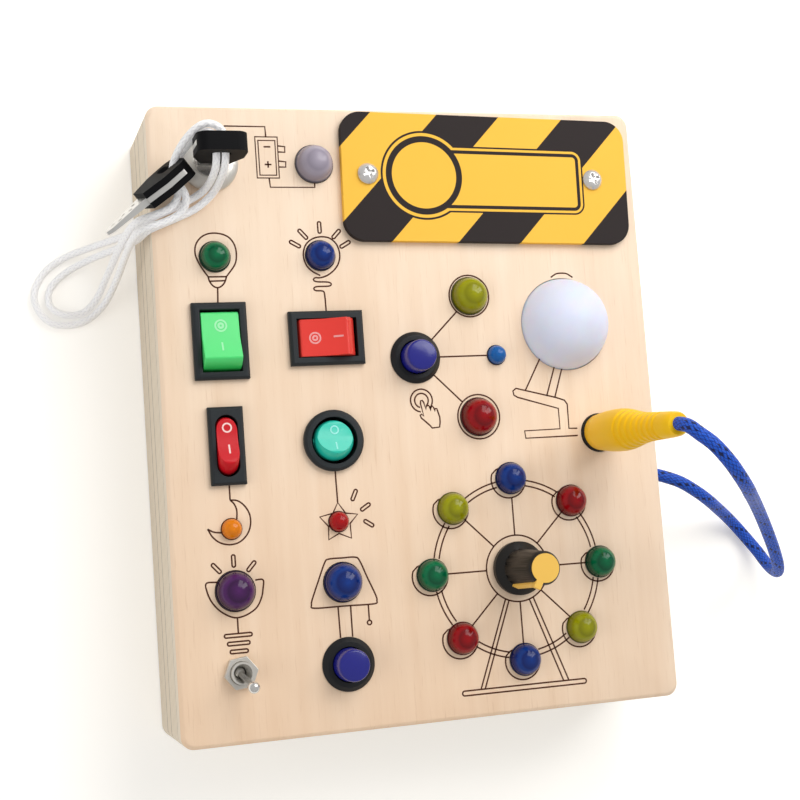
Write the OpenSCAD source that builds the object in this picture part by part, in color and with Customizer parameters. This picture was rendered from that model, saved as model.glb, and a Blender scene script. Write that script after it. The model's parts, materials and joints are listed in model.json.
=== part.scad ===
// Wooden busy board: a box of plywood layers that carries switches, lamps, a key lock,
// a control knob and a plug on a cord. Millimetres. The board lies on its back at z = 0,
// +Z leaves the face and +Y is the board's top edge.

/* [Board] */
// Width of the board
board_w = 144; // [130:1:170]
// Height of the board
board_h = 172; // [156:1:200]
// Radius of the board's upright corners
corner_r = 3.5; // [2.5:0.5:6]
// Thickness of the face panel
face_t = 5.5; // [4:0.5:6]
// Height of the front frame ring
front_ring_t = 11.5; // [11:0.5:16]
// Height of the middle frame ring
middle_ring_t = 7; // [6:0.5:10]
// Height of the back frame ring
back_ring_t = 11; // [11:0.5:16]
// Width of the front and middle frame rings
ring_w = 7; // [5:0.5:7.5]
// Width of the back frame ring
back_ring_w = 11; // [10:0.5:13]
// Thickness of the back panel
back_t = 3; // [2:0.5:4]
// Ledge of the back ring that the back panel lies on
ledge_w = 6.5; // [5.5:0.5:8]
// Chamfer around the edges of the face
ease = 1.1; // [0.4:0.1:1.5]

/* [Layout] */
// Distance of the outer column of fittings from the board's left edge
outer_margin = 16.5; // [15.5:0.5:18]
// Inner column of fittings
inner_col_x = -26; // [-28:0.5:-25]
// Distance of the key lock from the board's top edge
lock_margin = 16; // [15.5:0.5:17]
// Row of the two upper lamps
bulb_y = 44.1; // [42:0.5:46]
// Row of the two upper rockers
rocker_y = 20.9; // [19:0.5:23]
// Row of the slim and the round rocker
low_rocker_y = -7.4; // [-9:0.5:-5]
// Row of the two small lamps
star_y = -29.5; // [-31:0.5:-28]
// Row of the two lower lamps
lamp_y = -45.9; // [-47:0.5:-44]
// Row of the toggle switch
toggle_y = -67.3; // [-69:0.5:-65]
// Row of the lamp button
lamp_button_y = -67.9; // [-69:0.5:-66]
// Middle of the wheel of lamps, across
wheel_x = 25; // [23:0.5:26]
// Middle of the wheel of lamps, up
wheel_y = -46; // [-47:0.5:-45]
// Radius of the wheel of lamps
wheel_r = 25.4; // [24:0.2:26]
// Touch button, across
touch_x = -0.6; // [-2:0.2:1]
// Touch button, up
touch_y = 14.7; // [13:0.5:16]
// White dome, across
dome_x = 45.8; // [44:0.2:47]
// White dome, up
dome_y = 23.1; // [22:0.5:25]
// Jack, across
jack_x = 53.7; // [52:0.1:55]
// Jack, up
jack_y = -9; // [-11:0.5:-7]

/* [Rockers] */
// Length of the bezels of the rectangular rockers
bezel_l = 21; // [20.4:0.2:22]
// Width of the wide bezels
bezel_w = 15; // [14.6:0.2:16]
// Width of the slim bezel
slim_bezel_w = 9.6; // [9.4:0.2:11]
// Diameter of the round bezel
round_bezel_d = 16.8; // [16.4:0.2:18]
// Height of a bezel above the face
bezel_t = 2; // [1.6:0.1:2.4]
// Radius of a wide rocker's ends about its pins
rocker_r = 8.2; // [7.8:0.1:8.4]
// Width of a wide rocker
rocker_w = 10.3; // [9:0.1:10.4]
// Radius of the slim rocker's ends about its pins
slim_r = 8; // [7.6:0.1:8.3]
// Width of the slim rocker
slim_w = 5.6; // [5:0.1:5.8]
// Radius of the round rocker's ball
round_r = 6.2; // [5.9:0.1:6.3]
// Half of the angle a rocker turns through
tilt = 15; // [12:0.5:16]
// Slope of each half of a rocker's top
top_slope = 9; // [6:0.5:10]
// Radius of a rocker's pins
pin_r = 1; // [0.8:0.1:1.1]
// Depth of a rocker's case under the face
case_depth = 13; // [12.6:0.2:14]

/* [Toggle switch and push buttons] */
// Radius of the toggle's threaded bushing
bushing_r = 3; // [2.9:0.1:3.2]
// Height of the bushing above the face
bushing_h = 3.6; // [3:0.1:4]
// Half of the angle the lever turns through
lever_tilt = 14; // [10:0.5:14]
// Length of the lever above its ball
lever_len = 12.4; // [10:0.2:16]
// Diameter of a button's bezel
button_d = 14.6; // [13.6:0.2:15.6]
// Height of a button's bezel
button_rim_t = 1.5; // [1.2:0.1:2]
// Radius of a button's threaded body
button_body_r = 6; // [5.9:0.1:6.3]
// Radius of a button's cap
cap_r = 4.7; // [4.3:0.1:4.8]
// Height of a button's cap above its bezel
cap_h = 5.3; // [4:0.1:6]
// Travel of a button
press = 1.8; // [1:0.1:2]

/* [Lock and keys] */
// Radius of the lock's ring
lock_ring_r = 8; // [7.5:0.1:8]
// Height of the lock's ring
lock_ring_h = 2.4; // [2:0.1:2.4]
// Radius of the lock's threaded body
lock_body_r = 6; // [5.8:0.1:6.4]
// Radius of the turning plug
lock_plug_r = 4.3; // [4.2:0.1:4.5]
// Depth of the lock under the face
lock_depth = 20; // [19:0.5:22]
// Width of a key's head
head_w = 13.5; // [12:0.1:13.6]
// Length of a key's head
head_l = 14; // [13.6:0.1:14.4]
// Thickness of a key's head
head_t = 5; // [4:0.1:5]
// Lean of the spare key to its side, in degrees
spare_lean = 30; // [24:1:34]
// Width of a key's blade
blade_w = 6.6; // [6:0.1:6.8]
// Thickness of a key's blade
blade_t = 2; // [1.8:0.1:2.2]
// Length of a key's blade from its head
blade_l = 15; // [14:0.1:16]

/* [Control knob] */
// Radius of the knob's skirt
skirt_r = 7.5; // [7.2:0.1:8.5]
// Height of the knob
knob_h = 17; // [16:0.5:20]
// Radius of the knob's top
knob_top_r = 5.1; // [4.9:0.1:5.6]
// Radius of the control's body
pot_r = 8.5; // [8:0.1:9]
// Radius of the control's shaft
shaft_r = 3; // [2.8:0.1:3.05]

/* [Jack and plug] */
// Diameter of the jack's flange
jack_d = 14.5; // [14:0.1:16]
// Thickness of the jack's flange
jack_rim_t = 1.8; // [1.5:0.1:2]
// Radius of the jack's threaded body
jack_body_r = 5.5; // [5.3:0.1:5.8]
// Length of the plug above the jack
plug_l = 45; // [45:0.2:46]
// Largest radius of the plug
plug_r = 6; // [5.7:0.1:6.4]
// Radius of the plug's barrel
barrel_r = 2.75; // [2.6:0.05:2.9]
// Length of the plug's barrel
barrel_l = 9.5; // [8:0.1:10]
// Diameter of the blue cord
cord_d = 3.4; // [3.2:0.1:3.5]

/* [Lamps] */
// Diameter of the large lenses
big_lens_d = 10.8; // [10:0.1:11]
// Diameter of the middle lenses
mid_lens_d = 8.5; // [8:0.1:8.8]
// Diameter of the small lenses
small_lens_d = 5.6; // [5:0.1:6]
// Radius of the white dome
dome_r = 13.4; // [13:0.1:14]
// Wall of the white dome
dome_wall = 1.5; // [1.2:0.1:2]
// Thickness of the circuit boards
pcb_t = 1.6; // [1.2:0.1:2]

/* [Sign plate] */
// Width of the sign plate
sign_w = 87.3; // [84:0.1:88]
// Height of the sign plate
sign_h = 37; // [34:0.1:38]
// Thickness of the sign plate
sign_t = 2; // [1.5:0.1:3]
// Corner radius of the sign plate
sign_r = 6; // [4:0.1:8]
// Distance between the sign's screws
sign_screw_gap = 68.8; // [66:0.1:72]

/* [Battery box] */
// Diameter of a battery
battery_d = 10.5; // [9:0.1:10.5]
// Length of a battery
battery_l = 44.5; // [42:0.1:45]
// Wall of the battery box
box_wall = 1.5; // [1.2:0.1:2]
// Thickness of the battery cover
cover_t = 1.8; // [1.5:0.1:2.2]

/* [Hidden] */
$fn = 48;

// Clearances
fit = 0.15;       // loose seat of a fitting in its hole
run = 0.05;       // running fit of a shaft or a pin
gap = 0.25;       // side clearance of a moving part in its opening
eps = 0.01;       // overlap of a cut with the outside

// Heights that follow from the layers
middle_z = back_ring_t;
front_z = middle_z + middle_ring_t;
under_z = front_z + front_ring_t;
face_z = under_z + face_t;
inside_w = board_w - 2 * ring_w;
inside_h = board_h - 2 * ring_w;

// Fixed small sizes
bezel_chamfer = 0.7;
rocker_drop = 3.5;
round_drop = 2.4;
crest_fillet = 0.8;
case_w = 13;
case_l = 19;
slim_case_w = 8.2;
round_case_r = 7.2;
case_floor = 1.5;
pin_in = 0.7;
tab_h = 2.4;
tab_out = 0.5;
terminal_w = 2.8;
terminal_t = 0.6;
terminal_l = 6;
flange_t = 1;
lens_sink = 0.8;
nut_t = 2;
button_nut_af = 14;
small_nut_af = 8;

// The layout closes up on a board that is smaller than the drawn one. The outer column, the
// lock and the sign keep to the board's edges.
drawn_w = 144;
drawn_h = 172;
across = min(1, board_w / drawn_w);
up = min(1, board_h / drawn_h);
outer_x = outer_margin - board_w / 2;
inner_x = inner_col_x * across;
wheel = [wheel_x * across, wheel_y * up];
lamp_ring_r = wheel_r * min(across, up);
function wheel_at(i) = wheel + lamp_ring_r * [sin(45 * i), cos(45 * i)];

lock_at = [outer_x, board_h / 2 - lock_margin];
green_at = [outer_x, rocker_y * up];
red_at = [inner_x, rocker_y * up];
slim_at = [outer_x, low_rocker_y * up];
round_at = [inner_x, low_rocker_y * up];
toggle_at = [outer_x, toggle_y * up];
lamp_button_at = [inner_x, lamp_button_y * up];
touch_at = [touch_x * across, touch_y * up];
dome_at = [dome_x * across, dome_y * up];
jack_at = [jack_x * across, jack_y * up];
sign_x = 25;
sign_margin = 20.5;
sign_at = [sign_x * across, board_h / 2 - sign_margin];
sign_len = sign_w * across;
sign_turn = -1.2;
sign_screw_shift = -1.8;
toggle_turn = 20;

touch_lamp_x = 16.9;
touch_lamp_far_x = 23.8;
lime_lamp_y = 31.9;
red_lamp_y = -2.7;
blue_spots = [
  [inner_x, bulb_y * up, mid_lens_d], [inner_x, lamp_y * up, big_lens_d],
  [touch_lamp_far_x * across, touch_at.y, small_lens_d],
  [wheel_at(0).x, wheel_at(0).y, mid_lens_d], [wheel_at(4).x, wheel_at(4).y, mid_lens_d]
];
red_spots = [
  [inner_x, star_y * up, small_lens_d], [touch_lamp_x * across, red_lamp_y * up, big_lens_d],
  [wheel_at(1).x, wheel_at(1).y, mid_lens_d], [wheel_at(5).x, wheel_at(5).y, mid_lens_d]
];
green_spots = [
  [outer_x, bulb_y * up, mid_lens_d],
  [wheel_at(2).x, wheel_at(2).y, mid_lens_d], [wheel_at(6).x, wheel_at(6).y, mid_lens_d]
];
lime_spots = [
  [touch_lamp_x * across, lime_lamp_y * up, big_lens_d],
  [wheel_at(3).x, wheel_at(3).y, mid_lens_d], [wheel_at(7).x, wheel_at(7).y, mid_lens_d]
];
purple_spot = [outer_x, lamp_y * up, big_lens_d];
amber_spot = [outer_x, star_y * up, small_lens_d];
lilac_spot = [inner_x, lock_at.y, big_lens_d];
lone_spots = [purple_spot, amber_spot, lilac_spot];
lens_spots = concat(blue_spots, red_spots, green_spots, lime_spots, lone_spots);

// Plain helpers

module rounded_outline(w, h, r) {
  square([w - 2 * r, h], center = true);
  square([w, h - 2 * r], center = true);
  for (sx = [-1, 1], sy = [-1, 1])
    translate([sx * (w / 2 - r), sy * (h / 2 - r)])
      circle(r);
}

module rounded_plate(w, h, t, r) {
  linear_extrude(t)
    rounded_outline(w, h, r);
}

module box(w, h, z0, z1) {
  translate([-w / 2, -h / 2, z0])
    cube([w, h, z1 - z0]);
}

module tube(r0, r1, z0, z1) {
  difference() {
    translate([0, 0, z0])
      cylinder(r = r1, h = z1 - z0);
    translate([0, 0, z0 - eps])
      cylinder(r = r0, h = z1 - z0 + 2 * eps);
  }
}

module rod(r, z0, z1) {
  translate([0, 0, z0])
    cylinder(r = r, h = z1 - z0);
}

// A hexagon nut around a body of radius bore
module hex_nut(across, bore, z0, t) {
  difference() {
    translate([0, 0, z0])
      cylinder(r = across / sqrt(3), h = t, $fn = 6);
    rod(bore + run, z0 - eps, z0 + t + eps);
  }
}

// A countersunk screw whose head lies flush at z = 0 and whose shank goes to +z
module flush_screw(head_r, shank_r, length) {
  difference() {
    rotate_extrude()
      polygon([
        [0, 0], [head_r, 0], [head_r, 0.3], [shank_r, head_r - shank_r + 0.3],
        [shank_r, length - shank_r], [0, length]
      ]);
    for (turn = [0, 90])
      rotate(turn)
        box(head_r * 1.1, 0.6, -eps, 0.7);
  }
}

module flush_hole(head_r, shank_r, length) {
  rotate_extrude()
    polygon([
      [0, -eps], [head_r + fit, -eps], [head_r + fit, 0.4],
      [shank_r + fit, head_r - shank_r + 0.4], [shank_r + fit, length], [0, length]
    ]);
}

module at(p, z = face_z) {
  translate([p.x, p.y, z])
    children();
}

// A tube swept along points: rings of sides points, carried along without twist

function unit(v) = v / norm(v);
function tangent(p, i) = unit(p[min(i + 1, len(p) - 1)] - p[max(i - 1, 0)]);
function square_to(v, t) = unit(v - (v * t) * t);
function side_vectors(p, i, v) =
  i >= len(p)
    ? []
    : let (side = square_to(v, tangent(p, i)))
        concat([side], side_vectors(p, i + 1, side));
function ring_points(c, t, side, r, sides) =
  [for (k = [0:sides - 1])
    c + r * (cos(360 * k / sides) * side + sin(360 * k / sides) * cross(t, side))];

module swept_tube(points, d, sides, start = [0.3, 0.2, 1]) {
  vectors = side_vectors(points, 0, start);
  rings = len(points);
  corners = [
    for (i = [0:rings - 1])
      each ring_points(points[i], tangent(points, i), vectors[i], d / 2, sides)
  ];
  walls = [
    for (i = [0:rings - 2], k = [0:sides - 1])
      [
        i * sides + k, (i + 1) * sides + k,
        (i + 1) * sides + (k + 1) % sides, i * sides + (k + 1) % sides
      ]
  ];
  first = [for (k = [0:sides - 1]) k];
  last = [for (k = [sides - 1:-1:0]) (rings - 1) * sides + k];
  polyhedron(corners, concat(walls, [first], [last]), convexity = 4);
}

// A helical spring from z0 to z1 on a radius that goes from r0 to r1
function coil_points(r0, r1, z0, z1, turns, per_turn) =
  [for (i = [0:turns * per_turn])
    let (share = i / (turns * per_turn), r = r0 + (r1 - r0) * share)
      [r * cos(360 * i / per_turn), r * sin(360 * i / per_turn), z0 + (z1 - z0) * share]];

// Plywood layers

module face_cuts() {
  for (s = lens_spots)
    at(s, under_z - eps)
      cylinder(r = s.z / 2 + fit, h = face_t + 2 * eps);
  at(green_at, 0)
    box(case_w + 2 * fit, case_l + 2 * fit, under_z - eps, face_z + eps);
  at(red_at, 0)
    box(case_l + 2 * fit, case_w + 2 * fit, under_z - eps, face_z + eps);
  at(slim_at, 0)
    box(slim_case_w + 2 * fit, case_l + 2 * fit, under_z - eps, face_z + eps);
  at(round_at, 0)
    rod(round_case_r + fit, under_z - eps, face_z + eps);
  at(toggle_at, 0)
    rod(bushing_r + fit, under_z - eps, face_z + eps);
  for (p = [lamp_button_at, touch_at])
    at(p, 0)
      rod(button_body_r + fit, under_z - eps, face_z + eps);
  at(lock_at, 0)
    rod(lock_body_r + fit, under_z - eps, face_z + eps);
  at(wheel, 0)
    rod(pot_bushing_r + fit, under_z - eps, face_z + eps);
  at(jack_at, 0)
    rod(jack_body_r + fit, under_z - eps, face_z + eps);
  at(dome_at, 0)
    rod(dome_r + fit, under_z - eps, face_z + eps);
  for (p = sign_screw_spots())
    at(p, 0)
      rod(sign_screw_r + run, face_z - sign_screw_in - run, face_z + eps);
  for (p = board_screw_spots)
    at(p, 0)
      rod(board_screw_r + run, under_z - eps, under_z + board_screw_in + run);
}

// Everything outside the chamfer around a plate's upper edge
module edge_chamfer(w, h, r, c, z) {
  for (sx = [-1, 1])
    translate([sx * w / 2, 0, z])
      rotate([90, 0, 0])
        linear_extrude(h - 2 * r, center = true)
          polygon([[-sx * c, eps], [sx * eps, eps], [sx * eps, -c], [0, -c], [-sx * c, 0]]);
  for (sy = [-1, 1])
    translate([0, sy * h / 2, z])
      rotate([90, 0, 90])
        linear_extrude(w - 2 * r, center = true)
          polygon([[-sy * c, eps], [sy * eps, eps], [sy * eps, -c], [0, -c], [-sy * c, 0]]);
  for (k = [0:3])
    let (sx = k == 0 || k == 3 ? 1 : -1, sy = k < 2 ? 1 : -1)
      translate([sx * (w / 2 - r), sy * (h / 2 - r), z])
        rotate(90 * k)
          rotate_extrude(angle = 90)
            polygon([[r - c, eps], [r + eps, eps], [r + eps, -c], [r, -c], [r - c, 0]]);
}

module face_panel() {
  color("burlywood")
    difference() {
      translate([0, 0, under_z])
        rounded_plate(board_w, board_h, face_t, corner_r);
      edge_chamfer(board_w, board_h, corner_r, ease, face_z);
      face_cuts();
    }
}

module frame_ring(z, t, w) {
  translate([0, 0, z])
    difference() {
      rounded_plate(board_w, board_h, t, corner_r);
      translate([0, 0, -eps])
        rounded_plate(board_w - 2 * w, board_h - 2 * w, t + 2 * eps, inner_corner_r);
    }
}

module cord_hole() {
  translate([board_w / 2 - ring_w - eps, cord_exit_at.y, cord_exit_z])
    rotate([0, 90, 0])
      cylinder(r = grommet_r + run, h = ring_w + 2 * eps);
}

module frame_front() {
  color("tan")
    difference() {
      frame_ring(front_z, front_ring_t, ring_w);
      cord_hole();
    }
}

module frame_middle() {
  color("wheat")
    difference() {
      frame_ring(middle_z, middle_ring_t, ring_w);
      cord_hole();
    }
}

module frame_back() {
  color("tan")
    difference() {
      frame_ring(0, back_ring_t, back_ring_w);
      translate([0, 0, -eps])
        rounded_plate(panel_w + 2 * fit, panel_h + 2 * fit, back_t + eps, inner_corner_r + fit);
      for (p = back_screw_spots)
        at(p, 0)
          rod(back_screw_r + run, back_t - eps, back_screw_l + run);
    }
}

inner_corner_r = 3;
panel_w = board_w - 2 * back_ring_w + 2 * ledge_w;
panel_h = board_h - 2 * back_ring_w + 2 * ledge_w;
back_screw_r = 1.3;
back_screw_head_r = 2.6;
back_screw_l = 9;
screw_x = board_w / 2 - back_ring_w + ledge_w / 2;
screw_y = board_h / 2 - back_ring_w + ledge_w / 2;
back_screw_spots = [for (sx = [-1, 1], sy = [-1, 0, 1]) [sx * screw_x, sy * screw_y]];

module back_panel() {
  color("peru")
    difference() {
      rounded_plate(panel_w, panel_h, back_t, inner_corner_r);
      at(battery_at, 0)
        box(box_w + 2 * fit, box_l + 2 * fit, -eps, back_t + eps);
      for (p = back_screw_spots)
        at(p, 0)
          flush_hole(back_screw_head_r, back_screw_r, back_t + eps);
    }
}

module back_screws() {
  color("silver")
    for (p = back_screw_spots)
      at(p, 0)
        flush_screw(back_screw_head_r, back_screw_r, back_screw_l);
}

// Battery box: an open tray behind the back panel, with a cover held by a screw

battery_count = 3;
contact_t = 0.4;
spring_room = 3.6;
cell_gap = 0.4;
cover_ledge = 1;
screw_end = 7;
bay_w = battery_count * battery_d + (battery_count + 1) * cell_gap;
bay_l = battery_l + 2 * contact_t + spring_room;
box_w = bay_w + 2 * (box_wall + cover_ledge);
box_l = bay_l + 2 * (box_wall + cover_ledge) + screw_end;
bay_y = -screw_end / 2;
bay_top = cover_t + battery_d + 2 * cell_gap;
box_top = bay_top + box_wall;
box_rim = 3;
box_room = 2.55;
box_rim_t = 1.5;
battery_at = [10 * across, back_ring_w - board_h / 2 + box_l / 2 + box_rim + box_room];
cover_screw_r = 1.2;
cover_screw_head_r = 2.3;
cover_screw_y = box_l / 2 - box_wall - screw_end / 2 - cover_ledge / 2;
cover_w = box_w - 2 * box_wall - 2 * gap;
cover_l = box_l - 2 * box_wall - 2 * gap;

module battery_box() {
  color("#2b2b2d")
    at(battery_at, 0)
      difference() {
        union() {
          box(box_w, box_l, 0, box_top);
          box(box_w + 2 * box_rim, box_l + 2 * box_rim, back_t, back_t + box_rim_t);
        }
        box(cover_w + 2 * gap, cover_l + 2 * gap, -eps, cover_t + gap);
        translate([0, bay_y, 0])
          box(bay_w, bay_l, 0, bay_top);
        translate([0, cover_screw_y, 0])
          rod(cover_screw_r + run, 0, box_top - box_wall);
      }
}

function cell_x(i) = (i - (battery_count - 1) / 2) * (battery_d + cell_gap);

module batteries() {
  color("#3f6f8f")
    at(battery_at, 0)
      for (i = [0:battery_count - 1]) {
        flip = i % 2 == 0 ? 1 : -1;
        near = bay_y - flip * (bay_l / 2 - contact_t);
        translate([cell_x(i), near, cover_t + cell_gap + battery_d / 2])
          rotate([-90 * flip, 0, 0])
            rotate_extrude()
              polygon([
                [0, 0], [cell_nub_r, 0], [cell_nub_r, cell_nub_l], [battery_d / 2 - 0.4, cell_nub_l],
                [battery_d / 2, cell_nub_l + 0.4], [battery_d / 2, battery_l - 0.4],
                [battery_d / 2 - 0.4, battery_l], [0, battery_l]
              ]);
      }
}

cell_nub_r = 1.9;
cell_nub_l = 1;
contact_w = 8;
contact_h = 9;
spring_wire = 0.7;

module battery_contacts() {
  color("silver")
    at(battery_at, 0)
      for (i = [0:battery_count - 1]) {
        flip = i % 2 == 0 ? 1 : -1;
        for (s = [-1, 1])
          translate([cell_x(i), bay_y + s * (bay_l - contact_t) / 2, cover_t + cell_gap + battery_d / 2])
            cube([contact_w, contact_t, contact_h], center = true);
        translate([cell_x(i), bay_y + flip * (bay_l / 2 - contact_t), cover_t + cell_gap + battery_d / 2])
          rotate([90 * flip, 0, 0])
            swept_tube(
              coil_points(3.4, 1.8, spring_wire / 2, spring_room - spring_wire / 2, 3, 9),
              spring_wire, 6
            );
      }
}

module battery_cover() {
  color("#333335")
    at(battery_at, 0)
      difference() {
        box(cover_w, cover_l, 0, cover_t);
        translate([0, cover_screw_y, 0])
          flush_hole(cover_screw_head_r, cover_screw_r, cover_t + eps);
        for (i = [0:5])
          translate([0, -cover_l / 2 + 6 + 1.6 * i, 0])
            box(12, 0.8, -eps, 0.4);
      }
}

module cover_screw() {
  color("silver")
    at(battery_at, 0)
      translate([0, cover_screw_y, 0])
        flush_screw(cover_screw_head_r, cover_screw_r, box_top - box_wall - 3);
}

// Rocker switches. The rocker turns about pins along X; its top is a shallow V whose
// crests are rounded into end faces that are arcs about the pins.

crest_turn = 67;
function valley_h(r, crest) = r * cos(crest) - r * sin(crest) * tan(top_slope);
function fillet_at(r, crest) =
  let (
    along = [cos(top_slope), sin(top_slope)],
    from = [
      crest_fillet * sin(top_slope),
      valley_h(r, crest) - crest_fillet * cos(top_slope)
    ],
    b = from * along,
    c = from * from - pow(r - crest_fillet, 2),
    reach = sqrt(b * b - c) - b
  ) from + reach * along;

module rocker_profile(r, low) {
  crest = crest_turn - tilt;
  c = fillet_at(r, crest);
  t = c + crest_fillet * [-sin(top_slope), cos(top_slope)];
  u = 1.3 * r * unit(c);
  intersection() {
    circle(r);
    polygon([
      [0, valley_h(r, crest)], t, c, u, [1.2 * r, -low], [-1.2 * r, -low],
      [-u.x, u.y], [-c.x, c.y], [-t.x, t.y]
    ]);
  }
  for (s = [-1, 1])
    translate([s * c.x, c.y])
      circle(crest_fillet);
}

module rocker_prism(r, w, low) {
  rotate([90, 0, 90])
    linear_extrude(w, center = true)
      rocker_profile(r, low);
}

module side_pins(w) {
  rotate([0, 90, 0])
    cylinder(r = pin_r, h = w + 2 * (gap + pin_in), center = true);
}

module tilted(drop) {
  translate([0, 0, bezel_t - drop])
    rotate([-tilt, 0, 0])
      children();
}

rocker_low = 1.6;
foot_r = 1.5;
foot_l = 3.2;

module wide_rocker() {
  tilted(rocker_drop) {
    rocker_prism(rocker_r, rocker_w, rocker_low);
    side_pins(rocker_w);
    rod(foot_r, -foot_l - rocker_low, -rocker_low + eps);
  }
}

module slim_rocker_shape() {
  half = slim_w / 2;
  tilted(rocker_drop) {
    intersection() {
      rocker_prism(slim_r, slim_w + 1, rocker_low);
      rotate([0, 90, 0])
        rotate_extrude() {
          translate([0, -half])
            square([slim_r - half, slim_w]);
          translate([slim_r - half, 0])
            circle(half);
        }
    }
    side_pins(slim_w);
    rod(foot_r, -foot_l - rocker_low, -rocker_low + eps);
  }
}

module round_rocker_shape() {
  tilted(round_drop) {
    intersection() {
      rocker_prism(round_r, 2 * round_r + 1, rocker_low);
      sphere(round_r);
    }
    side_pins(2 * round_r - 0.3);
    rod(foot_r, -foot_l - rocker_low, -rocker_low + eps);
  }
}

// A plate with its upper edges chamfered, as the meeting of two prisms
module chamfered_plate(w, l, t, c) {
  intersection() {
    rotate([90, 0, 0])
      linear_extrude(l, center = true)
        polygon([[-w / 2, 0], [w / 2, 0], [w / 2, t - c], [w / 2 - c, t], [c - w / 2, t], [-w / 2, t - c]]);
    rotate([90, 0, 90])
      linear_extrude(w, center = true)
        polygon([[-l / 2, 0], [l / 2, 0], [l / 2, t - c], [l / 2 - c, t], [c - l / 2, t], [-l / 2, t - c]]);
  }
}

// Snap wedges under the panel on the two ends of a case
module snap_tabs(l, w) {
  for (s = [-1, 1])
    translate([0, s * l / 2, under_z - face_z])
      rotate([90, 0, 90])
        linear_extrude(w, center = true)
          polygon([[-s * 0.5, 0], [s * tab_out, 0], [s * tab_out, -0.3], [0, -tab_h], [-s * 0.5, -tab_h]]);
}

module pin_bores(w) {
  translate([0, 0, bezel_t - rocker_drop])
    rotate([0, 90, 0])
      cylinder(r = pin_r + run, h = w + 2 * (gap + pin_in + run), center = true);
}

module wide_case() {
  difference() {
    union() {
      chamfered_plate(bezel_w, bezel_l, bezel_t, bezel_chamfer);
      box(case_w, case_l, -case_depth, eps);
      snap_tabs(case_l, 6);
    }
    box(rocker_w + 2 * gap, 2 * (rocker_r + gap), case_floor - case_depth, bezel_t + eps);
    pin_bores(rocker_w);
  }
}

module slim_case() {
  half = slim_w / 2 + gap;
  difference() {
    union() {
      chamfered_plate(slim_bezel_w, bezel_l, bezel_t, bezel_chamfer);
      box(slim_case_w, case_l, -case_depth, eps);
      snap_tabs(case_l, 4);
    }
    translate([0, 0, case_floor - case_depth])
      rounded_plate(2 * half, 2 * (slim_r + gap), bezel_t + case_depth, half - eps);
    pin_bores(slim_w);
  }
}

module round_case() {
  difference() {
    union() {
      rotate_extrude()
        polygon([
          [0, 0], [round_bezel_d / 2, 0], [round_bezel_d / 2, bezel_t - bezel_chamfer],
          [round_bezel_d / 2 - bezel_chamfer, bezel_t], [0, bezel_t]
        ]);
      rod(round_case_r, -case_depth, eps);
      snap_tabs(2 * round_case_r - 0.4, 4);
    }
    rod(round_r + gap, case_floor - case_depth, bezel_t + eps);
    translate([0, 0, rocker_drop - round_drop])
      pin_bores(2 * round_r - 0.3);
  }
}

module green_rocker_case() {
  color("#232326")
    at(green_at)
      wide_case();
}

module green_rocker() {
  color("limegreen")
    at(green_at)
      wide_rocker();
}

module red_rocker_case() {
  color("#232326")
    at(red_at)
      rotate(90)
        wide_case();
}

module red_rocker() {
  color("red")
    at(red_at)
      rotate(90)
        wide_rocker();
}

module slim_rocker_case() {
  color("#232326")
    at(slim_at)
      slim_case();
}

module slim_rocker() {
  color("crimson")
    at(slim_at)
      slim_rocker_shape();
}

module round_rocker_case() {
  color("#232326")
    at(round_at)
      round_case();
}

module round_rocker() {
  color("turquoise")
    at(round_at)
      round_rocker_shape();
}

terminal_gap = 7;

module terminal_pair(gap_y) {
  for (s = [-1, 1])
    translate([0, s * gap_y / 2, 0])
      difference() {
        box(terminal_w, terminal_t, -case_depth - terminal_l, -case_depth);
        translate([0, 0, -case_depth - terminal_l + 1.6])
          rotate([90, 0, 0])
            cylinder(r = 0.6, h = 2, center = true);
      }
}

module switch_terminals() {
  color("gold") {
    for (p = [green_at, slim_at, round_at])
      at(p)
        terminal_pair(terminal_gap);
    at(red_at)
      rotate(90)
        terminal_pair(terminal_gap);
  }
}

// Toggle switch: the lever's ball turns in the bushing

toggle_body_w = 8;
toggle_body_l = 13;
toggle_body_h = 9.5;
lever_ball_r = 2.15;
lever_neck_r = 0.75;
lever_tip_r = 1.2;
lever_tail = 3;
lever_pivot = -2;
lever_pin_r = 0.5;
lever_pin_in = 0.5;

module toggle_body() {
  color("silver")
    at(toggle_at)
      rotate(toggle_turn)
        difference() {
          union() {
            box(toggle_body_w, toggle_body_l, -face_t - toggle_body_h, -face_t);
            rod(bushing_r, -face_t - eps, bushing_h);
            for (s = [-1, 0, 1])
              translate([0, 4.7 * s, 0])
                box(2, 0.8, -face_t - toggle_body_h - 4, -face_t - toggle_body_h + eps);
          }
          rotate_extrude()
            polygon([
              [0, lever_pivot - 5], [lever_ball_r + run, lever_pivot - 5],
              [lever_ball_r + run, lever_pivot + 1.2], [1.6, lever_pivot + 1.9],
              [bushing_r - 0.5, bushing_h + eps], [0, bushing_h + eps]
            ]);
          translate([0, 0, lever_pivot])
            lever_pin(run);
        }
}

// The pin that the lever turns on; more = 0 is the pin, more = run is its bore
module lever_pin(more) {
  rotate([0, 90, 0])
    cylinder(r = lever_pin_r + more, h = 2 * (lever_ball_r + lever_pin_in + more), center = true);
}

module toggle_nut() {
  color("silver")
    at(toggle_at)
      rotate(8)
        hex_nut(small_nut_af, bushing_r, 0, nut_t);
}

module toggle_lever() {
  color("gainsboro")
    at(toggle_at)
      rotate(toggle_turn)
        translate([0, 0, lever_pivot])
          rotate([lever_tilt, 0, 0]) {
            sphere(lever_ball_r);
            rotate_extrude()
              polygon([
                [0, -lever_tail], [0.6, -lever_tail], [lever_neck_r, 0],
                [lever_neck_r, 0.45 * lever_len], [lever_tip_r, lever_len - lever_tip_r],
                [0, lever_len - lever_tip_r]
              ]);
            translate([0, 0, lever_len - lever_tip_r])
              sphere(lever_tip_r);
            lever_pin(0);
          }
}

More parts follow.
